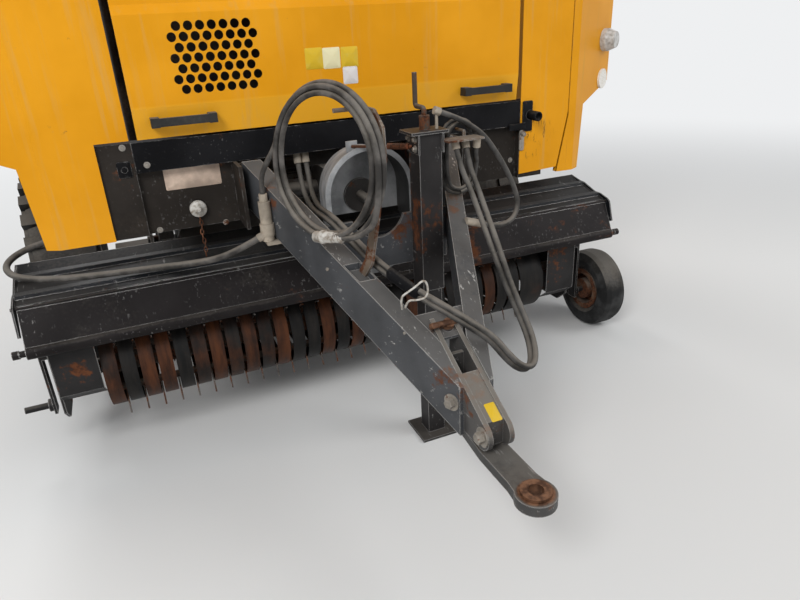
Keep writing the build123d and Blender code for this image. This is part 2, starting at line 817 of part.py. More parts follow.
# Front lamps: a conical position lamp and a round reflector below it, on each shield's slanted corner
lamp_share = 0.785
lamp_z = 1360
reflector_z = 1202
for side, name in ((-1, "lamp_left"), (1, "lamp_right")):
    x = corner_in + (shield_out - corner_in) * lamp_share
    y = panel_y + corner_deep * lamp_share
    out = (side * corner_deep, corner_in - shield_out, 0)
    face = Plane(origin=(side * x, y, lamp_z), x_dir=(0, 0, 1), z_dir=out)
    lamp = extrude(face * Circle(46), 20) + extrude(face.offset(20) * Circle(46), 34, taper=22)
    low = Plane(origin=(side * x, y, reflector_z), x_dir=(0, 0, 1), z_dir=out)
    nodes[name] = group([lamp, extrude(low * Circle(41), 9)])


# Tyres and rims
flange_h = 18
flange_thick = 7
def tyre(cx, cy, cz, r, w, bead_r, lug, count):
    """A ring with round shoulders, and a row of lugs at each shoulder where it has any."""
    crown = r - lug
    half = w / 2
    bead = half * 0.76
    line = Polyline(
        (-bead, bead_r),
        (bead, bead_r),
        (bead, bead_r + flange_h + 1),
        (half * 0.98, bead_r + (crown - bead_r) * 0.35),
        (half * 0.98, bead_r + (crown - bead_r) * 0.6),
        (half * 0.80, crown - w * 0.06),
        (half * 0.45, crown),
        (-half * 0.45, crown),
        (-half * 0.80, crown - w * 0.06),
        (-half * 0.98, bead_r + (crown - bead_r) * 0.6),
        (-half * 0.98, bead_r + (crown - bead_r) * 0.35),
        (-bead, bead_r + flange_h + 1),
        close=True,
    )
    ring = revolve(Plane.XZ * make_face(line), Axis.X, 360)
    if lug:
        for row in (-1, 1):
            points = []
            for k in range(count):
                for share, radius in ((-0.27, crown - 24), (-0.25, r), (0.25, r), (0.27, crown - 24)):
                    a = radians((k + share + (0.25 if row > 0 else -0.25)) * 360 / count)
                    points.append((radius * cos(a), radius * sin(a)))
            gear = make_face(Polyline(*points, close=True)) - Circle(crown - 60)
            low = half * 0.08 if row > 0 else -half * 0.92
            ring += extrude(Plane.YZ.offset(low) * gear, half * 0.84)
    return Pos(cx, cy, cz) * ring


def rim(cx, cy, cz, r, w, side, bore, disc):
    """A pressed rim for a tyre of width w: barrel with flanges, a disc, and the hub."""
    t = flange_thick
    half = w / 2 * 0.76 + run_gap + t
    line = Polyline(
        (-half, r + flange_h),
        (-half, r - t),
        (half, r - t),
        (half, r + flange_h),
        (half - t, r + flange_h),
        (half - t, r),
        (-half + t, r),
        (-half + t, r + flange_h),
        close=True,
    )
    barrel = revolve(Plane.XZ * make_face(line), Axis.X, 360)
    plate = rod_x(side * disc - 6, side * disc + 6, 0, 0, r - t + 1) + rod_x(side * disc - 60, side * disc + 40, 0, 0, bore + 38)
    return Pos(cx, cy, cz) * (barrel + plate - rod_x(-w, w, 0, 0, bore))


lug_count = 26
for side, name in ((-1, "left"), (1, "right")):
    nodes[f"tyre_{name}"] = tyre(side * wheel_x, axle_y, wheel_r, wheel_r, wheel_w, rim_r + run_gap, 16, lug_count)
    nodes[f"rim_{name}"] = rim(side * wheel_x, axle_y, wheel_r, rim_r, wheel_w, side, spindle_r + run_gap, 20)

# Tailgate: the rear half of the chamber, hinged at the roof
gate_plate_r = roller_circle + roller_r + 40


def gate_side(side):
    """One side of the tailgate: an arc of plate behind the split line, with an arm up to the hinge."""
    disc = Pos(0, chamber_y, chamber_z) * Rot(0, 90, 0) * Cylinder(gate_plate_r, wall_thick)
    disc = Pos(side * (chamber_half + wall_thick / 2), 0, 0) * disc
    behind = side_plate(
        [
            (split_top_y + gate_gap, chamber_z + gate_plate_r + 50),
            (split_top_y + gate_gap, wall_top),
            (split_low_y + gate_gap, split_low_z),
            (split_low_y + gate_gap, chamber_z - gate_plate_r - 50),
            (chamber_y + gate_plate_r + 50, chamber_z - gate_plate_r - 50),
            (chamber_y + gate_plate_r + 50, chamber_z + gate_plate_r + 50),
        ],
        side * (chamber_half - 5),
        side * (chamber_half + wall_thick + 5),
    )
    plate = disc & behind
    plate += side_plate(
        [
            (gate_hinge_y, gate_hinge_z - gate_eye_r),
            (gate_hinge_y, gate_hinge_z + gate_eye_r),
            (gate_hinge_y + 40, gate_hinge_z + gate_eye_r),
            (gate_hinge_y + 420, gate_hinge_z - 175),
            (gate_hinge_y + 300, gate_hinge_z - 335),
            (split_top_y + gate_gap + 30, gate_hinge_z - 335),
            (split_top_y + gate_gap, gate_hinge_z - gate_eye_r),
        ],
        side * chamber_half,
        side * (chamber_half + wall_thick),
    )
    plate += rod_x(side * chamber_half, side * (chamber_half + wall_thick), gate_hinge_y, gate_hinge_z, gate_eye_r)
    lug_out = cyl_x - eye_half - move_gap
    plate += rod_x(side * chamber_half, side * lug_out, cyl_eye_y, cyl_eye_z, 34)
    for angle in gate_angles:
        y, z = ring_of(angle, roller_circle, chamber_y, chamber_z)
        plate += rod_x(side * (chamber_half + wall_thick), side * (chamber_half + wall_thick + 22), y, z, 42)
    plate -= rod_x(side * (chamber_half - 20), side * (chamber_half + 60), gate_hinge_y, gate_hinge_z, pin_r + run_gap)
    return plate


nodes["gate_sides"] = group([gate_side(-1), gate_side(1)])

# Tailgate cross pieces: a beam across the back with the lamps, and a skin at the top
gate_beam_angle = 5
cross_in = roller_circle + roller_r + roller_rib + 6
by, bz = ring_of(gate_beam_angle, cross_in + 45, chamber_y, chamber_z)
nodes["gate_beam"] = box(-chamber_half - 90, chamber_half + 90, by, by + 60, bz - 60, bz + 60)
for side in (-1, 1):
    nodes["gate_beam"] += box(
        side * (chamber_half + wall_thick), side * (chamber_half + 90), by - 120, by + 60, bz - 60, bz + 60
    )
nodes["tail_lamps"] = group(box(side * 500, side * 680, by + 60, by + 100, bz - 45, bz + 45) for side in (-1, 1))

# Roof brackets that carry the tailgate's hinge pins
brackets = []
for side in (-1, 1):
    x0 = side * (chamber_half + wall_thick + move_gap)
    x1 = side * (chamber_half + wall_thick + move_gap + 14)
    bracket = side_plate(
        [
            (gate_hinge_y - 120, wall_top),
            (gate_hinge_y - 40, gate_hinge_z + 30),
            (gate_hinge_y + 30, gate_hinge_z + 30),
            (gate_hinge_y + 30, gate_hinge_z - 30),
            (gate_hinge_y + 20, wall_top - 66),
            (gate_hinge_y - 120, wall_top - 66),
        ],
        x0,
        x1,
    )
    bracket += box(side * (chamber_half + wall_thick), x0, gate_hinge_y - 120, gate_hinge_y - 40, wall_top - 66, wall_top)
    bracket += rod_x(side * (chamber_half - 30), x1, gate_hinge_y, gate_hinge_z, pin_r)
    brackets.append(bracket)
nodes["gate_hinges"] = group(brackets)

# Tailgate cylinders: a barrel on each rail and a rod up to the tailgate
barrel_r = 32
rod_r = 18
cyl_len = hypot(cyl_eye_y - cyl_y, cyl_eye_z - cyl_z)
cyl_tilt = degrees(atan2(cyl_eye_y - cyl_y, cyl_eye_z - cyl_z))
barrel_len = 860
for side, name in ((-1, "left"), (1, "right")):
    place = Pos(side * cyl_x, cyl_y, cyl_z) * Rot(-cyl_tilt, 0, 0)
    barrel = Pos(0, 0, barrel_len / 2 + 20) * (Cylinder(barrel_r, barrel_len - 40) - Cylinder(rod_r + run_gap, barrel_len))
    barrel += Pos(0, 0, 30) * Cylinder(barrel_r, 40)
    barrel += Rot(0, 90, 0) * Cylinder(36, 40)
    barrel -= Rot(0, 90, 0) * Cylinder(pin_r + run_gap, 3 * barrel_r)
    nodes[f"cylinder_{name}"] = place * barrel
    piston = Pos(0, 0, (cyl_len + 90) / 2) * Cylinder(rod_r, cyl_len - 90)
    piston += Pos(0, 0, cyl_len) * Rot(0, 90, 0) * Cylinder(34, 40)
    piston -= Pos(0, 0, cyl_len) * Rot(0, 90, 0) * Cylinder(pin_r + 2, 3 * barrel_r)
    nodes[f"cylinder_rod_{name}"] = place * piston
    rails[side] += box(side * rail_in, side * rail_out, cyl_y - 50, cyl_y + 50, rail_high, rail_high + 20)
    foot = side_plate([(cyl_y - 60, rail_high), (cyl_y + 60, rail_high), (cyl_y + 30, cyl_z + 40), (cyl_y - 30, cyl_z + 40)],
                      side * (cyl_x - 52), side * (cyl_x - 40))
    foot += rod_x(side * (cyl_x - 45), side * (cyl_x + 30), cyl_y, cyl_z, pin_r)
    rails[side] += foot

# Pickup frame: end plates, the arms back to the pivot, and the channel that holds the bands
end_left = -1145
end_right = 1040
end_t = 10
channel_y = reel_y + 245
pickup_end = [
    (reel_y - 120, reel_z - 110),
    (reel_y - 120, reel_z + 170),
    (reel_y - 60, reel_z + 205),
    (channel_y + 40, reel_z + 205),
    (channel_y + 40, reel_z - 80),
    (reel_y + 60, reel_z - 160),
    (reel_y - 60, reel_z - 160),
]
arm_x = rail_out + 20
reel_pin = 20
deck_rear = panel_y + 225
deck_rear_z = 757
deck_front = panel_y - 17
deck_front_z = 692
rib_h = 12
rib_w = 24
deck_fold = [
    (deck_front, deck_front_z),
    (deck_front + 32, deck_front_z + 10),
    (deck_front + 38, deck_front_z + 10 + rib_h),
    (deck_front + 38 + rib_w, deck_front_z + 12 + rib_h),
    (deck_front + 44 + rib_w, deck_front_z + 14),
    (deck_front + 142, deck_front_z + 36),
    (deck_front + 148, deck_front_z + 36 + rib_h),
    (deck_front + 148 + rib_w, deck_front_z + 38 + rib_h),
    (deck_front + 154 + rib_w, deck_front_z + 42),
    (deck_rear, deck_rear_z),
]


def deck_under(y):
    """Height of the deck's underside between its two ribs, at y, less the running gap."""
    (y0, z0), (y1, z1) = deck_fold[4:6]
    return z0 + (z1 - z0) * (y - y0) / (y1 - y0) - run_gap


pickup = box(end_left, end_right, channel_y, channel_y + 50, reel_z + band_r - 40, reel_z + band_r)
pickup += box(end_left, end_right, channel_y, channel_y + 8, reel_z - band_r, reel_z + band_r - 40)
prop_y = deck_fold[4][0] + 12
prop_rear = prop_y + 48
for side, x0 in ((-1, end_left), (1, end_right - end_t)):
    plate = side_plate(pickup_end, x0, x0 + end_t)
    plate += side_plate(
        [
            (prop_y, reel_z + 150),
            (prop_y, deck_under(prop_y)),
            (prop_rear, deck_under(prop_rear)),
            (prop_rear, reel_z + 150),
        ],
        x0,
        x0 + end_t,
    )
    plate -= rod_x(x0 - 20, x0 + 40, reel_y, reel_z, reel_pin + run_gap)
    pickup += plate
    pickup += side_plate(
        [
            (channel_y, reel_z + 100),
            (channel_y, reel_z + 160),
            (pickup_pivot_y - 40, pickup_pivot_z + 34),
            (pickup_pivot_y + 34, pickup_pivot_z + 34),
            (pickup_pivot_y + 34, pickup_pivot_z - 34),
            (pickup_pivot_y - 30, pickup_pivot_z - 34),
        ],
        side * arm_x,
        side * (arm_x + 14),
    )
    pickup -= rod_x(side * (arm_x - 20), side * (arm_x + 40), pickup_pivot_y, pickup_pivot_z, pin_r + run_gap)
nodes["pickup_frame"] = pickup
for side in (-1, 1):
    rails[side] += box(side * rail_in, side * rail_out, pickup_pivot_y - 50, pickup_pivot_y + 50, 600, rail_low)
    rails[side] += rod_x(side * (rail_out - 10), side * (arm_x + 24), pickup_pivot_y, pickup_pivot_z, pin_r)
nodes["rails"] = group(rails.values())

# End covers: folded sheet in front of the reel's drive at each end, carried by the end plates
cover_face = 1190
cover_left_x = -990
cover_right_x = 882
covers = []
for x0, x1, low in ((end_left + end_t, cover_left_x, 303), (cover_right_x, end_right - end_t, 262)):
    fold = [
        (reel_y - 60, reel_z + 196),
        (cover_face + 30, reel_z + 190),
        (cover_face, reel_z + 160),
        (cover_face, low + 40),
        (cover_face + 50, low),
        (reel_y - 40, low - 40),
    ]
    covers.append(strip(fold, sheet, x0, x1))
nodes["end_covers"] = group(covers)

# Bands: curved strips that wrap the reel, with a gap for each row of tines, and a wide one at the right end
band_t = 3


def band(x, width):
    """One strip: a half circle round the front of the reel and two straight legs to the channel."""
    leg = channel_y - reel_y
    outer = Circle(band_r) + Pos(leg / 2, 0) * Rectangle(leg, 2 * band_r)
    inner = Circle(band_r - band_t) + Pos(leg, 0) * Rectangle(2 * leg, 2 * (band_r - band_t))
    section = outer - inner
    return extrude(Plane(origin=(x - width / 2, reel_y, reel_z), x_dir=(0, 1, 0), z_dir=(1, 0, 0)) * section, width)


wide_band = (747, 868)
band_x = [band_first + k * band_pitch for k in range(band_count)]
strips = [band(x, band_w) for x in band_x]
strips.append(band(sum(wide_band) / 2, wide_band[1] - wide_band[0]))
nodes["bands"] = group(strips)

# Reel: a tube with four bars of spring tines, which pass between the bands
tine_bars = 4
bar_circle = 110
bar_r = 14
spider_t = 6
reel_left = band_first - band_w / 2
reel_right = wide_band[1]
reel = [rod_x(end_left - 15, end_right + 15, reel_y, reel_z, reel_pin)]
tine_line = [(bar_circle, 0), (bar_circle + 60, 0), (tine_tip_r, -16)]
tine_bar = [Pos(reel_left + 10, 0, bar_circle) * Rot(0, 90, 0) * Pos(0, 0, (reel_right - reel_left - 20) / 2)
            * Cylinder(bar_r, reel_right - reel_left - 20)]
for x in (reel_left + 10, reel_right - 10 - spider_t):
    tine_bar.append(box(x, x + spider_t, -20, 20, 0, bar_circle))
for j in range(band_count):
    gap_right = band_x[j + 1] - band_w / 2 if j + 1 < band_count else wide_band[0]
    x = (band_x[j] + band_w / 2 + gap_right) / 2
    path = Polyline((x, 0, bar_circle), (x, 0, bar_circle + 60), (x, -18, tine_tip_r))
    tine_bar.append(sweep(Plane(origin=path @ 0, z_dir=path % 0) * RegularPolygon(tine_r, 6), path=path,
                          transition=Transition.RIGHT))
quarter = tine_bar[0].fuse(*tine_bar[1:])
for k in range(tine_bars):
    reel.append(Pos(0, reel_y, reel_z) * Rot(45 + k * 360 / tine_bars, 0, 0) * quarter)
nodes["reel"] = rod_x(reel_left, reel_right, reel_y, reel_z, 45).fuse(*reel)

# Deck: the black cover over the pickup, folded with two ribs, between two cheek plates
deck_half = 1185
deck = strip(deck_fold, sheet, -deck_half, deck_half)
cheek_t_deck = 6
guard_pin_y = deck_front - 14
guard_pin_z = deck_front_z - 2
for side in (-1, 1):
    cheek = side_plate(
        [
            (guard_pin_y - 52, guard_pin_z - 80),
            (guard_pin_y - 26, guard_pin_z - 90),
            (guard_pin_y + 24, guard_pin_z - 20),
            (deck_front + 44 + rib_w, deck_front_z - 16),
            (deck_rear, deck_rear_z - 34),
            (deck_rear, deck_rear_z + sheet),
            (deck_front + 150 + rib_w, deck_front_z + 38 + rib_h + sheet),
            (deck_front + 144, deck_front_z + 36 + rib_h + sheet),
            (deck_front + 64, deck_front_z + 10 + rib_h + sheet),
            (deck_front + 30, deck_front_z + 10 + rib_h + sheet),
            (guard_pin_y - 8, guard_pin_z + 14),
            (guard_pin_y - 24, guard_pin_z + 4),
        ],
        side * deck_half,
        side * (deck_half + cheek_t_deck),
    )
    deck += cheek - rod_x(
        side * (deck_half - 5), side * (deck_half + 20), guard_pin_y, guard_pin_z, small_pin + run_gap
    )
nodes["pickup_deck"] = deck

# Wind guard: a hinged plate ahead of the deck, with a pipe along its lower edge and a knob at each end
wind_half = deck_half - move_gap
pipe_y = 1140
pipe_z = 555
pipe_r = 22
wind = strip([(pipe_y - 10, pipe_z + 8), (guard_pin_y, guard_pin_z)], sheet, -wind_half, wind_half)
wind += rod_x(-wind_half, wind_half, pipe_y, pipe_z, pipe_r)
wind += rod_x(-wind_half - 41, wind_half + 41, pipe_y, pipe_z, 11)
wind += rod_x(-wind_half - 41, -wind_half - 20, pipe_y, pipe_z, 14)
wind += rod_x(wind_half + 20, wind_half + 41, pipe_y, pipe_z, 14)
wind += rod_x(-deck_half - 12, deck_half + 12, guard_pin_y, guard_pin_z, small_pin)
nodes["wind_guard"] = wind

# Gauge wheels: an arm each side, with the wheel on the right one and a bare axle stub on the left one
stub_r = 12
arm_t = 10
arms = []
for side, x_arm, x_end, stub_z, stub_end in (
    (-1, -1180, end_left, 235, -gauge_x),
    (1, 1165, end_right, gauge_r, gauge_x + 55),
):
    leg_y = gauge_y + 3
    arm = box(x_arm, x_arm + side * arm_t, leg_y - 26, leg_y + 26, stub_z - 30, 470)
    arm += box(x_end, x_arm + side * arm_t, leg_y - 26, leg_y + 26, 430, 484)
    arm += rod_x(x_arm, stub_end, gauge_y, stub_z, stub_r)
    arm += rod_x(x_arm + side * arm_t, x_arm + side * (arm_t + 14), gauge_y, stub_z, 24)
    arms.append(arm)
nodes["gauge_arms"] = group(arms)
nodes["gauge_tyre"] = tyre(gauge_x, gauge_y, gauge_r, gauge_r, gauge_w, gauge_rim_r + run_gap, 0, 0)
nodes["gauge_rim"] = rim(gauge_x, gauge_y, gauge_r, gauge_rim_r, gauge_w, 1, stub_r + run_gap, 0)

# Free hoses and the supply cable: straight runs joined by arcs, each arc as large as its runs allow
hose_r = 9
cable_r = 11


def cord_tube(name, points, r):
    """The tube of a cord along its route, with a print of the arcs' radii and of how well the volume agrees."""
    spots = [Vector(*p) for p in points]
    radii = []
    for a, b, c in zip(spots, spots[1:], spots[2:]):
        turn = radians((b - a).get_angle(c - b))
        radii.append(0.45 * min((b - a).length, (c - b).length) / tan(turn / 2))
    path = FilletPolyline(*spots, radius=radii)
    tube = sweep(Plane(origin=path @ 0, z_dir=path % 0) * Circle(r), path=path)
    share = tube.volume / (pi * r**2 * path.length)
    print(f"{name}: length {path.length:.0f}, volume share {share:.4f}, radii {[round(v) for v in radii]}")
    return tube


def collar(points, r, length, at_end):
    """A round collar in line with the first or last run of a cord, on the far side of its end face."""
    spot, neighbour = (points[-1], points[-2]) if at_end else (points[0], points[1])
    out = Vector(*spot) - Vector(*neighbour)
    return extrude(Plane(origin=spot, z_dir=out) * Circle(r), length)


power_route = [
    (-862, 1262, 905), (-922, 1302, 884), (-985, 1355, 858), (-1032, 1405, 841), (-1082, 1436, 826),
    (-1138, 1440, 813), (-1184, 1405, 800), (-1202, 1350, 788), (-1184, 1294, 776), (-1138, 1260, 764),
    (-1060, 1252, 750), (-960, 1256, 738), (-859, 1244, 736), (-729, 1190, 748), (-631, 1150, 755),
    (-544, 1100, 772), (-474, 1064, 802), (-405, 1048, 836),
]
hose_route = [
    (-190, 1255, 1025), (-190, 1238, 960), (-192, 1180, 905), (-194, 1090, 890), (-196, 1000, 896),
    (-192, 915, 897), (-172, 830, 868), (-130, 700, 806), (-66, 550, 752), (-17, 475, 722),
    (44, 412, 678), (92, 378, 640), (128, 356, 584), (168, 348, 538), (216, 362, 514), (256, 402, 522),
    (276, 452, 562), (274, 506, 622), (260, 560, 704), (246, 616, 800), (246, 700, 900),
    (244, 764, 980), (236, 808, 1036), (232, 829, 1092),
]
# The second hose runs beside the first: a shift for each stretch of the route
second_shift = [(30, 0, 0), (30, 0, 0), (26, -2, 5), (18, -5, 11), (13, -8, 14), (11, -10, 15), (9, -11, 16)]
second_shift += [(6, -12, 17), (3, -12, 18), (3, -12, 18), (4, -12, 17), (6, -13, 15)]
second_shift += [(8, -13, 13)] * 7 + [(18, -8, 10), (24, 0, 6), (26, 0, 4), (32, 0, 2), (36, 0, 0)]
second_route = [tuple(a + b for a, b in zip(p, q)) for p, q in zip(hose_route, second_shift)]
loop_route = [
    (193, 866, 1209), (238, 862, 1192), (290, 854, 1164), (346, 848, 1122), (398, 848, 1054),
    (444, 850, 982), (474, 848, 918), (482, 838, 868), (456, 820, 830), (408, 804, 816), (354, 796, 822),
    (304, 796, 838),
]
nodes["power_cable"] = cord_tube("power_cable", power_route, cable_r)
nodes["hose_left"] = cord_tube("hose_left", hose_route, hose_r)
nodes["hose_right"] = cord_tube("hose_right", second_route, hose_r)
nodes["hose_loop"] = cord_tube("hose_loop", loop_route, hose_r)

# Coil of the supply cable: a ring that hangs beside the left beam, with its lead up from the socket
coil_y = 762
coil_z = 1110
coil_lean = 62 / 500
coil_half = (266, 248)
coil_band = 56
coil_thick = 36
coil_x = 32.2 - beam_outer(coil_y) - coil_lean * (1350 - coil_z)
coil_plane = Plane(
    origin=(coil_x, coil_y, coil_z),
    x_dir=(-beam_in_slope, 1, 0),
    z_dir=(1, beam_in_slope, -coil_lean),
)
ring_face = Ellipse(*coil_half) - Ellipse(coil_half[0] - coil_band, coil_half[1] - coil_band)
socket_x = -371
socket_y = 1045
socket_low = 825
socket_high = 959
coil = extrude(coil_plane * ring_face, coil_thick / 2, both=True)
lead_route = [
    (socket_x, socket_y, socket_high + 26), (socket_x, socket_y, 1032), (-354, 1018, 1084), (-332, 975, 1140),
]
coil += cord_tube("coil lead", lead_route, cable_r)
nodes["cable_coil"] = coil

# Coil of spare hose on the right of the jack, with its lead down from the hanger
hank_x = 276
hank_y = 888
hank_z = 1056
hank_half = (80, 136)
hank_band = 44
hank_face = Ellipse(*hank_half) - Ellipse(hank_half[0] - hank_band, hank_half[1] - hank_band)
hank = extrude(Plane(origin=(hank_x, hank_y, hank_z), x_dir=(1, 0, 0), z_dir=(0, -1, 0)) * hank_face, 19, both=True)
hank_route = [(306, 829, 1092), (308, 836, 1062), (318, 856, 1038), (326, 884, 1020)]
hank += cord_tube("hank lead", hank_route, hose_r)
nodes["hose_coil"] = hank

# Holders: the bar on the left beam with its peg, and the hanger plate on the jack with its hook
bar_offset = 21
bar_w = 28
bar_t = 8
peg_y = 690
peg_z = 1270
peg_r = 6
holder_line = [
    (703, beam_top(703) - pocket_deep + 4), (672, 830), (653, 904), (634, 983), (613, 1087), (597, 1144),
    (600, 1225), (624, 1262), (peg_y, peg_z),
]
bar_front = 560
bar_rear = 730


def bar_x(y):
    """Middle of the bar across the baler, at y: it stands along the left beam."""
    return bar_offset + 32.2 - beam_outer(y)


bar_face = make_face(offset(Polyline(*holder_line), bar_w / 2, side=Side.BOTH))
bar = extrude(Plane.YZ.offset(-beam_ref_x) * bar_face, beam_ref_x)
bar &= flat_plate(
    [
        (bar_x(bar_front) - bar_t / 2, bar_front),
        (bar_x(bar_front) + bar_t / 2, bar_front),
        (bar_x(bar_rear) + bar_t / 2, bar_rear),
        (bar_x(bar_rear) - bar_t / 2, bar_rear),
    ],
    0,
    peg_z + 2 * bar_w,
)
bar += rod_x(bar_x(peg_y) - 62, bar_x(peg_y), peg_y, peg_z, peg_r)
bar -= nodes["beam_left"]
hanger_z = 1120
hanger_t = 6
hook_r = 5
hanger_right = jack_x + sleeve_out + 138
hanger = box(jack_x + sleeve_out + cheek_t, hanger_right, 800, hank_y - 26, hanger_z, hanger_z + hanger_t)
hook_z = hank_z + hank_half[1] - hank_band - hook_r - 1
hanger += rod_y(hank_y - 30, hank_y + 24, hank_x, hook_z, hook_r)
hanger += box(hank_x - hook_r, hank_x + hook_r, hank_y - 32, hank_y - 26, hanger_z, hook_z)
nodes["cord_holders"] = group([bar, hanger])

# Fittings of the cords: socket with its clamp on the left beam, gland on the post, couplers and clips
socket = rod_z(socket_low, socket_high, socket_x, socket_y, 20)
socket += rod_z(socket_low + 20, socket_low + 60, socket_x, socket_y, 24)
socket += rod_z(socket_high, socket_high + 26, socket_x, socket_y, 14)
socket += collar(power_route, 14, 34, True)
socket += box(socket_x - 10, socket_x + 60, socket_y - 24, socket_y + 24, socket_low - 12, socket_low)
socket -= nodes["beam_left"]
socket = socket.solids().sort_by(SortBy.VOLUME)[-1]
gland = (collar(power_route, 15, 30, False) - nodes["front_plate_left"]).solids().sort_by(Axis.X)[0]
fittings = [socket, gland]
for route in (hose_route, second_route):
    top = collar(route, 14, 60, False) & box(-400, 400, 800, 1500, 800, sill_low)
    fittings.append(top)
    fittings.append(collar(route, 13, 40, True) & box(0, 400, 600, 1000, 900, hanger_z))
fittings.append(collar(hank_route, 13, 40, False) & box(0, 400, 600, 1000, 900, hanger_z))
clip = collar(loop_route, 13, 22, False) + rod_z(sleeve_high + head_t, 1206, 180, 866, 5)
fittings.append(clip)
fittings.append(collar(loop_route, 13, 60, True) - nodes["beam_right"] - box(0, beam_inner(796) + 40, 600, 1000, 700, 900))
nodes["cord_fittings"] = group(fittings)

os.makedirs("parts", exist_ok=True)
for name, shape in nodes.items():
    export_step(Pos(0, 0, -eye_height) * shape, f"parts/{name}.step")
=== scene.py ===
from math import cos, radians, sin, tau

import bmesh
import bpy
import numpy as np
from mathutils import Matrix, Vector


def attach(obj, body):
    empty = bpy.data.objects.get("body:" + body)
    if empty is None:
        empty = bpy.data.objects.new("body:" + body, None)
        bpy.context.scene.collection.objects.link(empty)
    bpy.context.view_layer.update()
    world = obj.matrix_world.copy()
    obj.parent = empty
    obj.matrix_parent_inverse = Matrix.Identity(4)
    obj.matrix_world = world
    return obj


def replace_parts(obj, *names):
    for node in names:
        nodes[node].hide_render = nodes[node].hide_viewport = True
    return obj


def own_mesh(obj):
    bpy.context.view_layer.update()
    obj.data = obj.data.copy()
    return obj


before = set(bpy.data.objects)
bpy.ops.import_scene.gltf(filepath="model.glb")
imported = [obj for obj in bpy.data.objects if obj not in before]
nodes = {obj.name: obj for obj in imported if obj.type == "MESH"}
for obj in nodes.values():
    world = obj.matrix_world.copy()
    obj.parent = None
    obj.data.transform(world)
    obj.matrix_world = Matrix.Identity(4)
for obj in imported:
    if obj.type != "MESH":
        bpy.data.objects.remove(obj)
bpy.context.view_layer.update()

# Camera of the photograph: it stands at the left of the drawbar, at head height, and looks
# back at the front of the baler and down at the hitch.
eye_place = Vector((-0.75, -1.004, 1.098))
yaw, pitch, roll = radians(22.44), radians(24.261), radians(-2.863)
sensor, lens, clip_end = 36, 28.446, 60
look = Vector((sin(yaw) * cos(pitch), cos(yaw) * cos(pitch), -sin(pitch)))
level = Vector((cos(yaw), -sin(yaw), 0))
upright = level.cross(look)
side_axis = level * cos(roll) + upright * sin(roll)
up_axis = upright * cos(roll) - level * sin(roll)


def put(name, data):
    """An object of the scene that shows this data, at the origin."""
    thing = bpy.data.objects.new(name, data)
    bpy.context.scene.collection.objects.link(thing)
    return thing


camera_data = bpy.data.cameras.new("camera")
camera_data.sensor_width = sensor
camera_data.lens = lens
camera_data.clip_end = clip_end
camera = put("camera", camera_data)
facing = Matrix((side_axis, up_axis, -look)).transposed().to_4x4()
camera.matrix_world = Matrix.Translation(eye_place) @ facing
bpy.context.scene.camera = camera

# Studio: a pale floor at the level of the wheels, soft lamps above and beside, and an even pale
# background, which the far floor runs into.
eye_height = 0.4
floor_half = 30
floor_grey = (0.70, 0.70, 0.69, 1)
backdrop = (0.86, 0.87, 0.88, 1)
sky_blue, sky_strength = (0.95, 0.97, 1, 1), 0.5
fade_start, fade_end = 3.5, 9.0


def feed(tree, node, inputs):
    """Gives a node's inputs plain values or other nodes' outputs."""
    for name, value in inputs.items():
        if isinstance(value, bpy.types.NodeSocket):
            tree.links.new(value, node.inputs[name])
        else:
            node.inputs[name].default_value = value


def add(tree, kind, inputs=None, **settings):
    """A shader node with its settings and what goes into it."""
    node = tree.nodes.new(kind)
    for name, value in settings.items():
        setattr(node, name, value)
    feed(tree, node, inputs or {})
    return node


def calc(tree, operation, a, b=0.0):
    """Two values added, multiplied and so on, kept between nought and one."""
    return add(tree, "ShaderNodeMath", {0: a, 1: b}, operation=operation, use_clamp=True).outputs[0]


def vector_calc(tree, operation, a, b=(0, 0, 0)):
    """Two vectors taken together; the outputs are named Vector and Value."""
    return add(tree, "ShaderNodeVectorMath", {0: a, 1: b}, operation=operation).outputs


def climb(tree, value, low, high):
    """Nought at low, one at high, with a smooth climb between; it falls where low is the higher."""
    ends = {"Value": value, "From Min": low, "From Max": high}
    return add(tree, "ShaderNodeMapRange", ends, interpolation_type="SMOOTHSTEP").outputs["Result"]


def new_material(name):
    """A material, its node tree, its Principled shader and the place on the object, in metres."""
    material = bpy.data.materials.new(name)
    material.use_nodes = True
    tree = material.node_tree
    place = add(tree, "ShaderNodeTexCoord").outputs["Object"]
    return material, tree, tree.nodes["Principled BSDF"], place


def unlit_for_camera(tree):
    """One for rays that come straight from the camera, from a mirror or through glass."""
    rays = add(tree, "ShaderNodeLightPath").outputs
    seen = calc(tree, "ADD", rays["Is Camera Ray"], rays["Is Glossy Ray"])
    return calc(tree, "ADD", seen, rays["Is Transmission Ray"])


floor_mesh = bpy.data.meshes.new("floor")
floor_signs = (-1, -1), (1, -1), (1, 1), (-1, 1)
floor_corners = [(x * floor_half, y * floor_half, -eye_height) for x, y in floor_signs]
floor_mesh.from_pydata(floor_corners, [], [(0, 1, 2, 3)])
floor = put("floor", floor_mesh)
floor_paint, tree, shader, place = new_material("pale floor")
feed(tree, shader, {"Base Color": floor_grey, "Roughness": 0.9, "Specular IOR Level": 0.1})
reach = vector_calc(tree, "LENGTH", place)["Value"]
far = calc(tree, "MULTIPLY", climb(tree, reach, fade_start, fade_end), unlit_for_camera(tree))
glow = add(tree, "ShaderNodeEmission", {"Color": backdrop, "Strength": 1.0})
surface = add(tree, "ShaderNodeMixShader", {0: far, 1: shader.outputs[0], 2: glow.outputs[0]})
feed(tree, tree.nodes["Material Output"], {"Surface": surface.outputs[0]})
floor_mesh.materials.append(floor_paint)
bpy.context.scene.view_settings.view_transform = "Standard"
world = bpy.data.worlds.new("sky")
bpy.context.scene.world = world
world.use_nodes = True
tree = world.node_tree
sky = tree.nodes["Background"]
feed(tree, sky, {"Color": sky_blue, "Strength": sky_strength})
plain = add(tree, "ShaderNodeBackground", {"Color": backdrop, "Strength": 1.0})
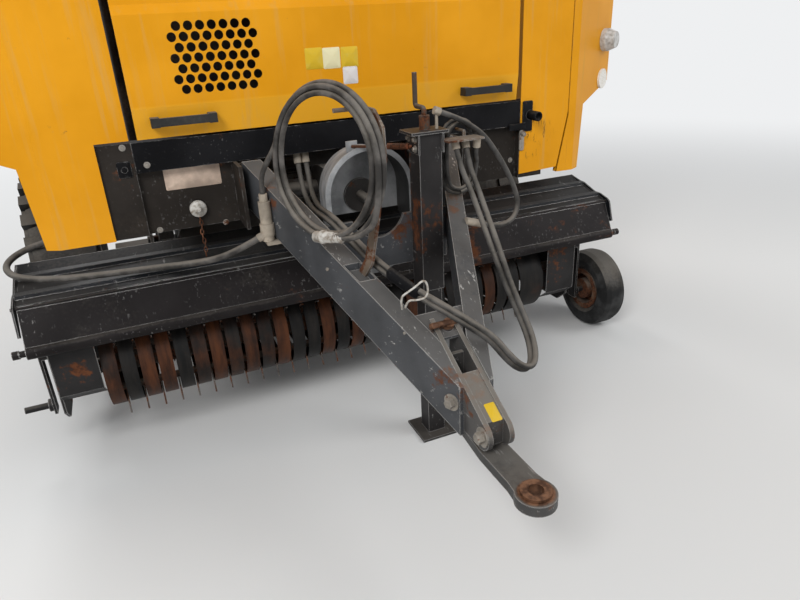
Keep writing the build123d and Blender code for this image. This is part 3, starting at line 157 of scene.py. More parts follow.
parts = {0: unlit_for_camera(tree), 1: sky.outputs[0], 2: plain.outputs[0]}
surface = add(tree, "ShaderNodeMixShader", parts)
feed(tree, tree.nodes["World Output"], {"Surface": surface.outputs[0]})
for lamp_name, place, target, size, power in (
    ("front lamp", (-3.4, -2.6, 4.4), (0, 0.8, 0.4), 2.4, 230),
    ("side lamp", (4.5, -1.6, 3.4), (0, 0.8, 0.4), 3.0, 110),
    ("back lamp", (-1.5, 6.5, 5.0), (0, 2.0, 0.5), 3.5, 190),
):
    lamp_data = bpy.data.lights.new(lamp_name, "AREA")
    lamp_data.shape = "DISK"
    lamp_data.size = size
    lamp_data.energy = power
    lamp = put(lamp_name, lamp_data)
    lamp.location = place
    lamp.rotation_euler = (Vector(target) - Vector(place)).to_track_quat("-Z", "Y").to_euler()

# Drawbar: two box beams of welded plate that run together at the hitch, with a cross plate between.
# Dark paint, dusty on top, worn to bare steel along the edges and scratched where hoses and feet rub.


def mixed(tree, share, a, b):
    """Colour b over colour a by a share."""
    full = [(*c, 1) if isinstance(c, tuple) and len(c) == 3 else c for c in (a, b)]
    return add(tree, "ShaderNodeMix", {0: share, 6: full[0], 7: full[1]}, data_type="RGBA").outputs[2]


def blended(tree, share, a, b):
    """Value b over value a by a share."""
    return add(tree, "ShaderNodeMix", {0: share, 2: a, 3: b}, data_type="FLOAT").outputs[0]


def noise(tree, place, scale, detail=3.0, rough=0.55):
    """Soft random value about one half, with this many patches a metre."""
    given = {"Vector": place, "Scale": scale, "Detail": detail, "Roughness": rough}
    return add(tree, "ShaderNodeTexNoise", given).outputs[0]


def stretched(tree, place, x, y, z):
    """The place with each way drawn out or pressed together."""
    return add(tree, "ShaderNodeMapping", {"Vector": place, "Scale": (x, y, z)}).outputs[0]


def bump(tree, height, strength, distance):
    """The normal of a relief whose full height is a distance in metres."""
    given = {"Height": height, "Strength": strength, "Distance": distance}
    return add(tree, "ShaderNodeBump", given).outputs[0]


def effect(name, taken, made):
    """An empty node group with named sockets, and the two ends that its nodes lie between."""
    tree = bpy.data.node_groups.new(name, "ShaderNodeTree")
    for label, kind in taken:
        tree.interface.new_socket(label, in_out="INPUT", socket_type="NodeSocket" + kind)
    for label, kind in made:
        tree.interface.new_socket(label, in_out="OUTPUT", socket_type="NodeSocket" + kind)
    return tree, tree.nodes.new("NodeGroupInput").outputs, tree.nodes.new("NodeGroupOutput")


def placed(tree, group, place, **values):
    """An effect's outputs in a material, with the place and the values that this material gives it."""
    return add(tree, "ShaderNodeGroup", {"Place": place, **values}, node_tree=group).outputs


# Edge wear: where the surface's own normal and one rounded over the edge part, broken up by a fine grain
wear_inputs = [("Place", "Vector"), ("Reach", "Float"), ("Amount", "Float")]
edge_wear, taken, made = effect("edge wear", wear_inputs, [("Mask", "Float")])
rounded = add(edge_wear, "ShaderNodeBevel", {"Radius": taken["Reach"]}, samples=5).outputs[0]
plain_normal = add(edge_wear, "ShaderNodeNewGeometry").outputs["Normal"]
parting = vector_calc(edge_wear, "DOT_PRODUCT", rounded, plain_normal)["Value"]
edge = calc(edge_wear, "MULTIPLY", climb(edge_wear, parting, 0.998, 0.86), taken["Amount"])
crumble = calc(edge_wear, "MULTIPLY", edge, noise(edge_wear, taken["Place"], 38, 5, 0.65))
feed(edge_wear, made, {"Mask": climb(edge_wear, crumble, 0.16, 0.30)})

# Rust: patches with ragged rims, dark in their middle and orange where they spread
rust_dark, rust_light = (0.030, 0.013, 0.008), (0.118, 0.043, 0.019)
rust_inputs = [("Place", "Vector"), ("Scale", "Float"), ("Amount", "Float")]
rust, taken, made = effect("rust", rust_inputs, [("Mask", "Float"), ("Color", "Color"), ("Height", "Float")])
broad = noise(rust, taken["Place"], taken["Scale"], 2)
fine = noise(rust, stretched(rust, taken["Place"], 6, 6, 6), taken["Scale"], 6, 0.7)
score = calc(rust, "ADD", calc(rust, "MULTIPLY", broad, 0.62), calc(rust, "MULTIPLY", fine, 0.38))
score = calc(rust, "ADD", score, calc(rust, "MULTIPLY", taken["Amount"], 0.42))
shade = mixed(rust, climb(rust, fine, 0.36, 0.62), rust_dark, rust_light)
feed(rust, made, {"Mask": climb(rust, score, 0.66, 0.73), "Color": shade, "Height": fine})

# Dust: thickest on what faces up, thin and cloudy on what stands upright
dust, taken, made = effect("dust", [("Place", "Vector"), ("Amount", "Float")], [("Mask", "Float")])
own_normal = add(dust, "ShaderNodeTexCoord").outputs["Normal"]
upward = add(dust, "ShaderNodeSeparateXYZ", {0: own_normal}).outputs["Z"]
lying = calc(dust, "MULTIPLY", climb(dust, upward, -0.2, 0.9), 0.5)
cloud = calc(dust, "MULTIPLY", noise(dust, taken["Place"], 4.5, 5, 0.6), 0.8)
speck = calc(dust, "MULTIPLY", noise(dust, taken["Place"], 95, 2), 0.25)
load = calc(dust, "MULTIPLY", calc(dust, "ADD", calc(dust, "ADD", lying, cloud), speck), 0.62)
load = calc(dust, "ADD", load, calc(dust, "MULTIPLY", taken["Amount"], 0.45))
feed(dust, made, {"Mask": climb(dust, load, 0.52, 1.0)})

# Scratches: long thin marks that run along the piece
scratches, taken, made = effect("scratches", [("Place", "Vector"), ("Amount", "Float")], [("Mask", "Float")])
streaks = noise(scratches, stretched(scratches, taken["Place"], 90, 9, 60), 1.0, 4, 0.7)
patches = noise(scratches, taken["Place"], 7, 2)
few = climb(scratches, patches, 0.44, 0.62)
mark = calc(scratches, "MULTIPLY", climb(scratches, streaks, 0.60, 0.68), few)
feed(scratches, made, {"Mask": calc(scratches, "MULTIPLY", mark, taken["Amount"])})

steel = (0.34, 0.33, 0.32)
earth = (0.225, 0.200, 0.168)


def coating(
    name, paint, rough, edge=0.6, rusty=0.2, dusty=0.4, scratched=0.0, shine=0.0,
    under=steel, soil=earth, size=5.0, gloss=0.22,
):
    """Worn paint or metal: clouds of a lighter and a darker shade, then scratches and bare edges that
    show the metal, then rust, then dust; bump and roughness follow the same masks."""
    material, tree, shader, place = new_material(name)
    dark = tuple(c * 0.72 for c in paint)
    light = tuple(min(1, c * 1.22 + 0.004) for c in paint)
    colour = mixed(tree, climb(tree, noise(tree, place, size, 5), 0.30, 0.70), dark, light)
    grain = noise(tree, place, 260, 3)
    worn = placed(tree, edge_wear, place, Reach=0.005, Amount=edge)["Mask"]
    scored = placed(tree, scratches, place, Amount=scratched)["Mask"]
    rusted = placed(tree, rust, place, Scale=size, Amount=rusty)
    dusted = placed(tree, dust, place, Amount=dusty)["Mask"]
    bare = calc(tree, "MAXIMUM", worn, scored)
    colour = mixed(tree, bare, colour, under)
    colour = mixed(tree, rusted["Mask"], colour, rusted["Color"])
    colour = mixed(tree, calc(tree, "MULTIPLY", dusted, 0.85), colour, soil)
    covered = calc(tree, "MAXIMUM", rusted["Mask"], dusted)
    grainy = calc(tree, "ADD", calc(tree, "MULTIPLY", grain, 0.22), rough - 0.11)
    metal = blended(tree, bare, shine, 0.85)
    height = calc(tree, "ADD", calc(tree, "MULTIPLY", grain, 0.16), 0.30)
    height = calc(tree, "SUBTRACT", height, calc(tree, "MULTIPLY", bare, 0.2))
    rise = calc(tree, "MULTIPLY", rusted["Height"], rusted["Mask"])
    height = calc(tree, "ADD", height, calc(tree, "MULTIPLY", rise, 0.5))
    feed(tree, shader, {
        "Base Color": colour,
        "Roughness": blended(tree, covered, grainy, 0.88),
        "Specular IOR Level": gloss,
        "Metallic": calc(tree, "SUBTRACT", metal, covered),
        "Normal": bump(tree, height, 0.35, 0.0025),
    })
    return material


def dress(material, *names):
    """Gives CAD nodes their finish."""
    for name in names:
        for holder in nodes[name].material_slots:
            holder.material = material


dark_grey, beam_bare = (0.050, 0.052, 0.056), (0.46, 0.45, 0.43)
beam_paint = coating(
    "beam paint", dark_grey, 0.38, edge=1.0, rusty=0.12, dusty=0.12, scratched=1.0, under=beam_bare,
)
dress(beam_paint, "beam_left", "beam_right")


def at(x, y, z):
    """A point of the drawings, in millimetres above the ground, in the frame's metres."""
    return np.array([x / 1000, y / 1000, z / 1000 - eye_height])


def shells(name, grids, body, material, smooth=True):
    """One mesh of closed skins: each is a grid of points whose rows wrap round, and whose first and
    last rows are a point each or the same ring; doubled points are merged and faces turned outward."""
    corners, faces, start = [], [], 0
    for grid in grids:
        rows, around = grid.shape[:2]
        here = start + np.arange(rows * around).reshape(rows, around)
        beside = np.roll(here, -1, axis=1)
        faces.append(np.stack([here[:-1], beside[:-1], beside[1:], here[1:]], axis=-1).reshape(-1, 4))
        corners.append(grid.reshape(-1, 3))
        start += rows * around
    mesh = bpy.data.meshes.new(name)
    mesh.from_pydata(np.concatenate(corners).tolist(), [], np.concatenate(faces).tolist())
    skin = bmesh.new()
    skin.from_mesh(mesh)
    bmesh.ops.remove_doubles(skin, verts=skin.verts, dist=1e-6)
    bmesh.ops.recalc_face_normals(skin, faces=skin.faces)
    skin.to_mesh(mesh)
    skin.free()
    mesh.polygons.foreach_set("use_smooth", np.full(len(mesh.polygons), smooth))
    mesh.materials.append(material)
    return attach(put(name, mesh), body)


def axes_of(out):
    """One direction, and two square to it and to each other."""
    out = np.array(out, float) / np.linalg.norm(out)
    helper = np.array([0, 0, 1.0]) if abs(out[2]) < 0.9 else np.array([0, 1.0, 0])
    across = np.cross(helper, out)
    across /= np.linalg.norm(across)
    return out, across, np.cross(out, across)


def turned(profile, place, out, sides=24):
    """A profile of (radius, height) pairs in millimetres, turned round the line through a place:
    point = place + height x out + radius x (cos a x across + sin a x up)."""
    out, across, up = axes_of(out)
    radius, height = np.array(profile, float).T[:, :, None, None] / 1000
    angle = np.arange(sides)[None, :, None] * tau / sides
    return np.array(place) + height * out + radius * (np.cos(angle) * across + np.sin(angle) * up)


def bolt(place, out, flats, washer=True):
    """A hexagon head with its chamfer, on a round washer; flats is its width in millimetres."""
    corner, chamfer, washer_rim = flats / 1.732, 0.86, flats * 0.95
    base = flats * 0.14 if washer else 0
    shoulder, top = base + flats * 0.50, base + flats * 0.6
    profile = [(0, base), (corner, base), (corner, shoulder), (corner * chamfer, top), (0, top)]
    made = [turned(profile, place, out, sides=6)]
    if washer:
        made.append(turned([(0, 0), (washer_rim, 0), (washer_rim, base), (0, base)], place, out, sides=20))
    return made


def seen(u, v, *names):
    """Where the photograph's line of sight through a pixel first meets one of these nodes, and the normal."""
    photo_width, photo_height = 800, 600
    ray = look * (lens / sensor * photo_width)
    ray = ray + side_axis * (u - photo_width / 2) + up_axis * (photo_height / 2 - v)
    hits = [nodes[name].ray_cast(eye_place, ray.normalized()) for name in names]
    place, normal = min((h for h in hits if h[0]), key=lambda h: (h[1] - eye_place).length)[1:3]
    return np.array(place), np.array(normal)


bpy.context.view_layer.update()
zinc = (0.30, 0.27, 0.23)
plated = coating("zinc plated bolt", zinc, 0.45, edge=0.5, rusty=0.26, dusty=0.38, shine=0.6, size=30)
heads = []
for u, v, flats in ((328, 269, 10), (405, 333, 8)):
    heads += bolt(*seen(u, v, "beam_left"), flats, washer=False)
shells("beam_bolts", heads, "chassis", plated, smooth=False)

# Hitch: cheek plates that hold the flat tongue with its towing eye, under a cover plate. The tongue
# is forged and bare, rusty in its bore; the bolts through the cheeks are zinc plated, rusty and dusty.
head_grey, forged_grey = (0.055, 0.052, 0.050), (0.062, 0.060, 0.058)
head_paint = coating("hitch head paint", head_grey, 0.45, edge=1.0, rusty=0.16, dusty=0.42, scratched=0.9)
dress(head_paint, "hitch_head")
forged = coating(
    "forged steel", forged_grey, 0.48, edge=1.0, rusty=0.16, dusty=0.18, scratched=0.8, shine=0.4,
)
dress(forged, "hitch_tongue", "gate_hinges")
deep_rust, pale_rust = (0.065, 0.031, 0.018), (0.195, 0.098, 0.055)


def rust_near(material, middle, keep, near, reach):
    """Deep rust round a line through a place: keep has a nought along the line's way."""
    tree = material.node_tree
    shader = tree.nodes["Principled BSDF"]
    place = add(tree, "ShaderNodeTexCoord").outputs["Object"]
    away = vector_calc(tree, "SUBTRACT", place, middle)["Vector"]
    away = vector_calc(tree, "MULTIPLY", away, keep)["Vector"]
    ragged = calc(tree, "MULTIPLY", noise(tree, place, 60, 4), 0.012)
    distance = calc(tree, "ADD", vector_calc(tree, "LENGTH", away)["Value"], ragged)
    shade = mixed(tree, climb(tree, noise(tree, place, 45, 5), 0.35, 0.65), deep_rust, pale_rust)
    before = shader.inputs["Base Color"].links[0].from_socket
    feed(tree, shader, {"Base Color": mixed(tree, climb(tree, distance, reach, near), before, shade)})


rust_near(forged, (0, 0, 0), (1, 1, 0), 0.050, 0.058)
plates_paint = coating(
    "drawbar plate paint", dark_grey, 0.42, edge=1.0, rusty=0.16, dusty=0.15, scratched=0.9,
)
grip_line = (0, 0.459, 0.280)
rust_near(plates_paint, grip_line, (0, 1, 1), 0.022, 0.032)
dress(plates_paint, "drawbar_plates")
heads = []
for node, u, v, flats in (("hitch_head", 483, 437, 30), ("beam_left", 452, 402, 27)):
    heads += bolt(*seen(u, v, node), flats)
shells("hitch_bolts", heads, "chassis", plated, smooth=False)


def plate(place, out, width, height, corner, thick, edge=0.6):
    """A thin plate with round corners on a surface: each corner is a quarter circle moved out, so
    point = place + sign(cos a)(width/2 - corner) + corner cos a across, and the same upward; millimetres."""
    out, across, up = axes_of(out)
    sunk, rim_points = 0.05, 40
    angle = (np.arange(rim_points) + 0.5)[:, None] * tau / rim_points
    rim_x = np.sign(np.cos(angle)) * (width / 2 - corner) + corner * np.cos(angle)
    rim_y = np.sign(np.sin(angle)) * (height / 2 - corner) + corner * np.sin(angle)
    rows = []
    for share, rise in ((0, sunk), (1, sunk), (1, thick - edge * 0.4), (1 - edge / width, thick), (0, thick)):
        rows.append(np.array(place) + (rim_x * share * across + rim_y * share * up + rise * out) / 1000)
    return np.array(rows)


def sticker(name, print_colour, rim_colour):
    """Film with clouds of a second, worn colour and a few scuffs, blank."""
    material, tree, shader, place = new_material(name)
    cloud = climb(tree, noise(tree, place, 40, 5, 0.65), 0.5, 0.9)
    feed(tree, shader, {
        "Base Color": mixed(tree, cloud, print_colour, rim_colour),
        "Roughness": 0.45,
        "Normal": bump(tree, noise(tree, place, 180), 0.1, 0.001),
    })
    return material


yellow_film = sticker("yellow film", (0.62, 0.40, 0.006), (0.55, 0.40, 0.05))
cover_wide, cover_high, film_corner, film_thick = 32, 56, 4, 0.6
cover_film = plate(*seen(493, 412, "hitch_head"), cover_wide, cover_high, film_corner, film_thick)
shells("cover_sticker", [cover_film], "chassis", yellow_film)

# Jack: a square sleeve bolted to the drawbar, the leg that screws down inside it, and the crank on
# its tower. Brown-grey paint, rust where the screw runs out and on the crank.
jack_brown, crank_brown = (0.018, 0.016, 0.016), (0.075, 0.058, 0.045)
jack_paint = coating("jack paint", jack_brown, 0.50, edge=0.9, rusty=0.20, dusty=0.10, scratched=0.6)
dress(jack_paint, "jack_sleeve", "jack_leg")
crank_rust = coating("crank rust", crank_brown, 0.62, edge=0.5, rusty=0.45, dusty=0.20, shine=0.3, size=20)
dress(crank_rust, "jack_crank")
jack_x, jack_y, jack_bolt_apart, jack_bolt_flats = 96, 877, 24, 13
heads = []
for z in (1104, 1134):
    for away in (-jack_bolt_apart, jack_bolt_apart):
        heads += bolt(at(jack_x, jack_y + away, z), (-1, 0, 0), jack_bolt_flats)
shells("jack_bolts", heads, "chassis", plated, smooth=False)

# Guard spring: a wound spring on a rod that runs from the jack to the guard of the shaft. Bare
# steel, bright with rust all over.
spring_rust = coating("spring rust", (0.24, 0.075, 0.035), 0.70, edge=0.2, rusty=0.65, dusty=0.15, size=30)
dress(spring_rust, "spring_rod")

# Gearbox and chain drive: cast housing with the input shaft, and the chain behind the left shield.
# The guard round the shaft is grey plastic, dull outside; its faces that look toward the shaft, on the
# right half, are painted near black as painted shade.
oily = coating("oily iron", (0.030, 0.027, 0.025), 0.35, edge=0.5, rusty=0.10, dusty=0.44, size=9)
dress(oily, "gearbox")
chain_brown = (0.085, 0.070, 0.055)
chain_steel = coating("chain steel", chain_brown, 0.36, edge=0.6, rusty=0.28, dusty=0.20, shine=0.7, size=30)
dress(chain_steel, "chain_drive")
shaft_height = 0.505
guard_grey_and_shade, tree, shader, place = new_material("guard plastic and painted shade")
scuffs = noise(tree, stretched(tree, place, 1, 4, 1), 11, 6, 0.65)
outside = mixed(tree, climb(tree, scuffs, 0.34, 0.66), (0.25, 0.255, 0.26), (0.44, 0.445, 0.45))
# Painted shade: the inner faces on the right half get a near black, a little uneven, instead of the grey.
stains = climb(tree, noise(tree, place, 16, 4), 0.35, 0.7)
inner_shade = mixed(tree, stains, (0.008, 0.008, 0.008), (0.026, 0.025, 0.024))
sideways = add(tree, "ShaderNodeSeparateXYZ", {0: place}).outputs["X"]
inner_shade = mixed(tree, climb(tree, sideways, -0.04, 0.0), outside, inner_shade)
from_shaft = vector_calc(tree, "SUBTRACT", place, (0, 0, shaft_height))["Vector"]
from_shaft = vector_calc(tree, "MULTIPLY", from_shaft, (1, 0, 1))["Vector"]
own_normal = add(tree, "ShaderNodeTexCoord").outputs["Normal"]
outward = vector_calc(tree, "DOT_PRODUCT", own_normal, from_shaft)["Value"]
feed(tree, shader, {
    "Base Color": mixed(tree, climb(tree, outward, -0.01, 0.01), inner_shade, outside),
    "Roughness": 0.55,
    "Normal": bump(tree, scuffs, 0.25, 0.002),
})
dress(guard_grey_and_shade, "shaft_guard")

# Front frame: a deep sill under the hood and a pressed plate each side of the drawbar, black under
# a skin of road dust; the sill is darker and bluer than black paint and all but free of dust, as painted
# shade under the hood. They carry a blank rating plate, a latch, fixing bolts and a dust cap.
# Painted shade: the sill's near black, with a trace of blue, stands for the hood's shadow on it.
sill_black_and_shade, plate_brown, road_dirt = (0.005, 0.005, 0.006), (0.020, 0.016, 0.013), (0.13, 0.10, 0.072)
sill_paint_and_shade = coating(
    "sill paint and painted shade", sill_black_and_shade, 0.6, edge=0.4, rusty=0.03, dusty=-0.2, scratched=0.2, gloss=0.08,
)
dress(sill_paint_and_shade, "front_sill")
plate_paint = coating(
    "front plate paint", plate_brown, 0.6, edge=0.4, rusty=0.22, dusty=0.38, scratched=0.25,
    soil=road_dirt, size=4, gloss=0.12,
)
dress(plate_paint, "front_plate_left", "front_plate_right")
front_bolt_flats = 11
heads = []
for u, v in ((122, 148), (147, 165), (160, 230), (226, 222), (510, 160)):
    heads += bolt(*seen(u, v, "front_plate_left", "front_plate_right", "front_sill"), front_bolt_flats)
shells("front_bolts", heads, "chassis", plated, smooth=False)
bare_tin, tin_dirt = (0.56, 0.43, 0.34), (0.40, 0.30, 0.22)
plate_metal = coating(
    "rating plate metal", bare_tin, 0.5, edge=0.2, rusty=0.02, dusty=0.22, size=14, soil=tin_dirt,
)
sign_wide, sign_high, sign_corner, sign_thick = 186, 104, 6, 1.6
rivet_x, rivet_z, rivet = 86, 44, [(0, 1.5), (3.4, 1.5), (3, 3), (0, 3.8)]
spot, out = seen(192, 172, "front_plate_left")
signs = [plate(spot, out, sign_wide, sign_high, sign_corner, sign_thick)]
for x in (-rivet_x, rivet_x):
    for z in (-rivet_z, rivet_z):
        signs.append(turned(rivet, spot + np.array([x, 0, z]) / 1000, out, sides=12))
shells("rating_plate", signs, "chassis", plate_metal)
lock_wide, lock_high, lock_corner, lock_thick = 44, 52, 7, 3
lock_round = [(0, 2.8), (9, 2.8), (9, 7), (6, 8.5), (0, 8.5)]
spot, out = seen(124.5, 170, "front_plate_left")
lock = [plate(spot, out, lock_wide, lock_high, lock_corner, lock_thick)]
lock.append(turned(lock_round, spot, out, sides=20))
# The latch plate takes the sill's paint: near black with painted shade.
shells("latch_plate", lock, "chassis", sill_paint_and_shade)
cap_white, tree, shader, place = new_material("cap plastic")
stains = climb(tree, noise(tree, place, 60, 5), 0.4, 0.7)
cap_colour = mixed(tree, stains, (0.52, 0.50, 0.46), (0.20, 0.16, 0.12))
feed(tree, shader, {"Base Color": cap_colour, "Roughness": 0.5})
cap_profile = [(0, 0), (27, 0), (29, 4), (29, 15), (26, 19), (9, 21), (9, 30), (7, 33), (0, 33)]
spot, out = seen(198, 208, "front_plate_left")
shells("dust_cap", [turned(cap_profile, spot, out, sides=28)], "chassis", cap_white)


def ring(place, out, along, wide, long, thick):
    """A chain link: a round wire carried along an oval; point = centre line(a) + thick x (cos b x
    away + sin b x out), with the centre line long by wide in the plane square to out."""
    out = np.array(out, float)
    along = np.array(along, float)
    beside = np.cross(out, along)
    a = np.linspace(0, tau, 17)[:, None, None]
    b = np.arange(8)[None, :, None] * tau / 8
    away = np.cos(a) * along + np.sin(a) * beside
    line = np.cos(a) * along * long + np.sin(a) * beside * wide
    return np.array(place) + (line + thick * (np.cos(b) * away + np.sin(b) * out)) / 1000


chain_rust = coating("small chain rust", (0.24, 0.10, 0.05), 0.7, edge=0.1, rusty=0.6, dusty=0.2, size=40)
link_count, link_step, link_sway = 9, 0.0165, 0.002
link_wide, link_long, link_wire = 5.2, 10.5, 1.9
links = []
for k in range(link_count):
    middle = spot + np.array([link_sway * sin(k * 1.3), -0.012, -0.034 - link_step * k])
    facing = (0, -1, 0) if k % 2 else (1, 0, 0)
    links.append(ring(middle, facing, (0, 0, 1), link_wide, link_long, link_wire))
cap_chain = shells("cap_chain", links, "chassis", chain_rust)
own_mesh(cap_chain)

# Latch of the right shield: a black bracket on the column with a stub of tube that faces forward,
# a small lever under it and a dusty pin
bracket_size, arm_size, lever_size = (46, 120, 6, 5), (78, 26, 5, 10), (22, 84, 8, 6)
stub_away, arm_away, pin_away = np.array([(0.012, 0, 0.004), (-0.048, 0, -0.038), (0, 0, 0.026)])
stub = [(0, 4), (19, 4), (19, 62), (14, 66), (14, 50), (0, 50)]
pin = [(0, 4), (9, 4), (9, 24), (0, 26)]
spot, out = seen(527, 116, "column_right")
bracket = [plate(spot, out, *bracket_size), turned(stub, spot + stub_away, out, sides=24)]
bracket.append(plate(spot + arm_away, out, *arm_size))
# The bracket takes the sill's paint: near black with painted shade.
shells("column_latch", bracket, "chassis", sill_paint_and_shade)
spot, out = seen(521, 140, "column_right")
lever = [plate(spot, out, *lever_size), turned(pin, spot + pin_away, out, sides=16)]
shells("column_lever", lever, "chassis", plated)

# Chassis and bale chamber: rails, axle, plate walls, roof and bulkhead, all black and dusty, round
# the ribbed rollers, which the crop keeps bright along their ribs.
frame_paint = coating("frame paint", (0.022, 0.021, 0.020), 0.48, edge=0.7, rusty=0.20, dusty=0.46)
dress(frame_paint, "rails", "axle", "chamber_wall_left", "chamber_wall_right", "bulkhead", "feed_floor")
roller_grey = (0.20, 0.18, 0.16)
roller_steel = coating(
    "roller steel", roller_grey, 0.38, edge=0.9, rusty=0.34, dusty=0.22, shine=0.85, size=4,
)
dress(roller_steel, "front_rollers", "gate_rollers")

# Hood: one sheet folded from the front panel over to the lid, hinged behind, with a punched vent and
# two pull handles. Amber gloss paint, faded and lightly streaked, paler on the lower band.
amber = (0.72, 0.300, 0.004)
faded_amber, streak_brown, speck_brown = (0.74, 0.36, 0.020), (0.50, 0.31, 0.10), (0.42, 0.25, 0.09)
stain_brown, grease = (0.22, 0.085, 0.03), (0.13, 0.055, 0.012)
primer, pale_dust = (0.16, 0.10, 0.055), (0.48, 0.34, 0.17)
band_top, band_low = (0.875, 0.862), (0.60, 0.72)
latch_foot = (0.79, 1.225, 0.62)


def panel_paint(name, streaked, faded):
    """Amber gloss paint with soft fading, thin streaks of dust that run down, chips and rust at the
    edges, a paler lower band, and grease under the latch."""
    material, tree, shader, place = new_material(name)
    worn = placed(tree, edge_wear, place, Reach=0.004, Amount=0.42)["Mask"]
    dusted = placed(tree, dust, place, Amount=-0.12)["Mask"]
    stained = placed(tree, rust, place, Scale=7, Amount=0.0)["Mask"]
    pale = (amber[0] * 1.02, amber[1] * 1.06, amber[2] + 0.006)
    deep = tuple(c * 0.88 for c in amber)
    colour = mixed(tree, climb(tree, noise(tree, place, 2.2, 4), 0.32, 0.68), deep, pale)
    height = add(tree, "ShaderNodeSeparateXYZ", {0: place}).outputs["Z"]
    low = calc(tree, "MULTIPLY", climb(tree, height, *band_top), climb(tree, height, *band_low))
    run = climb(tree, noise(tree, stretched(tree, place, 34, 34, 1.6), 1.0, 5, 0.6), 0.52, 0.74)
    speck = climb(tree, noise(tree, place, 70, 6, 0.7), 0.66, 0.74)
    from_latch = vector_calc(tree, "DISTANCE", place, latch_foot)["Value"]
    smears = climb(tree, noise(tree, stretched(tree, place, 4, 4, 1), 20, 5, 0.7), 0.54, 0.64)
    for share, cover in (
        (calc(tree, "MULTIPLY", low, faded), faded_amber),
        (calc(tree, "MULTIPLY", run, streaked), streak_brown),
        (calc(tree, "MULTIPLY", speck, 0.5), speck_brown),
        (stained, stain_brown),
        (calc(tree, "MULTIPLY", climb(tree, from_latch, 0.13, 0.04), smears), grease),
        (calc(tree, "MULTIPLY", worn, 0.8), primer),
        (calc(tree, "MULTIPLY", dusted, 0.55), pale_dust),
    ):
        colour = mixed(tree, share, colour, cover)
    dull = calc(tree, "ADD", calc(tree, "MULTIPLY", dusted, 0.45), 0.34)
    wave = calc(tree, "MULTIPLY", noise(tree, place, 9, 1), 0.8)
    peel = calc(tree, "MULTIPLY", noise(tree, place, 320, 2), 0.04)
    feed(tree, shader, {
        "Base Color": colour,
        "Roughness": calc(tree, "ADD", dull, calc(tree, "MULTIPLY", run, 0.18)),
        "Specular IOR Level": 0.14,
        "Normal": bump(tree, calc(tree, "ADD", wave, peel), 0.3, 0.004),
    })
    return material


hood_paint = panel_paint("hood paint", 0.30, 0.75)
dress(hood_paint, "hood")
body_paint = panel_paint("body paint", 0.38, 0.0)
dress(body_paint, "shield_left", "shield_right", "column_right", "roof", "gate_sides", "gate_beam")
handle_dark, handle_worn = (0.018, 0.017, 0.016), (0.06, 0.06, 0.06)
handle_black = coating(
    "handle plastic", handle_dark, 0.55, edge=0.1, rusty=0.0, dusty=0.40, under=handle_worn,
)
dress(handle_black, "hood_handles")
cream_film = sticker("cream film", (0.72, 0.66, 0.40), (0.74, 0.56, 0.20))
white_film = sticker("white film", (0.66, 0.62, 0.60), (0.60, 0.50, 0.36))
hood_film_corner = 5
for name, u, v, width, height, film in (
    ("hood_sticker_1", 314, 58.5, 62, 68, yellow_film),
    ("hood_sticker_2", 331.5, 58, 62, 68, cream_film),
    ("hood_sticker_3", 349.5, 57, 62, 68, yellow_film),
    ("hood_sticker_4", 350.5, 75, 54, 58, white_film),
):
    hood_film = plate(*seen(u, v, "hood"), width, height, hood_film_corner, film_thick)
    shells(name, [hood_film], "hood", film)
handle_x, handle_front, handle_z, screw_apart = 560, 1000, 1224, 84
screw = [(0, 0), (9, 0), (8, 3), (0, 5)]
heads = []
for side in (-1, 1):
    for x in (-handle_x - screw_apart, -handle_x + screw_apart):
        before_hood = Vector(at(side * x, handle_front, handle_z))
        spot = nodes["hood"].ray_cast(before_hood, Vector((0, 1, 0)))[1]
        heads.append(turned(screw, spot, (0, -1, 0), sides=16))
shells("handle_screws", heads, "hood", handle_black)

# Corner of the right shield: its front flange runs on below the column's slanting end, so that the two
# edges stay parallel. The panel is flush with the flange, and its slanting edge is folded back.
corner_front, corner_sheet, corner_fold = 1225.2, 2.6, 22
corner_top, corner_left, corner_low, corner_right = (975.5, 702), (926, 452), (950, 450.5), (979, 450.5)
slant_edge = np.array([corner_top, corner_left], float)
inner_edge = slant_edge[::-1] + np.array([corner_sheet, 0])


def flat_panel(rim, front, thick):
    """A flat sheet in the x-z plane: the four corners of its front, shrunk to their middle and grown
    again, then carried back by its thickness and shrunk to the middle at the other face."""
    middle = rim.mean(axis=0)
    rows = []
    for share, y in ((0, front), (1, front), (1, front + thick), (0, front + thick)):
        edge = middle + (rim - middle) * share
        rows.append(np.column_stack([edge[:, 0], np.full(len(rim), y), edge[:, 1]]) / 1000)
    return np.array(rows)


corner_rim = np.array([corner_top, corner_left, corner_low, corner_right], float)
corner_shells = [
    flat_panel(corner_rim, corner_front, corner_sheet),
    flat_panel(np.vstack([slant_edge, inner_edge]), corner_front, corner_fold),
]
shells("shield_corner", corner_shells, "shield_right", body_paint, smooth=False)

# Side shields: folded sheet hinged at the roof, each with a position lamp and a round reflector on
# its slanting corner. Lamp and reflector are moulded plastic, dull grey above and a clear lens below.
lens_top, lens_edge = 0.87, 0.86
housing, tree, shader, place = new_material("lamp housing")
height = add(tree, "ShaderNodeSeparateXYZ", {0: place}).outputs["Z"]
case_stains, lens_stains = noise(tree, place, 50, 5), noise(tree, place, 300, 2)
case = mixed(tree, climb(tree, case_stains, 0.4, 0.7), (0.50, 0.49, 0.47), (0.26, 0.24, 0.21))
clear = mixed(tree, climb(tree, lens_stains, 0.4, 0.6), (0.80, 0.78, 0.74), (0.62, 0.58, 0.50))
feed(tree, shader, {
    "Base Color": mixed(tree, climb(tree, height, lens_top, lens_edge), case, clear),
    "Roughness": 0.28,
    "Normal": bump(tree, noise(tree, place, 240, 2), 0.2, 0.001),
})
dress(housing, "lamp_left", "lamp_right")

# Wheels: farm tyres with a lug tread on pressed rims, held by six nuts each. Dusty rubber, and pale
# rims with rusty edges; the gauge wheel's rim has rusted all over.


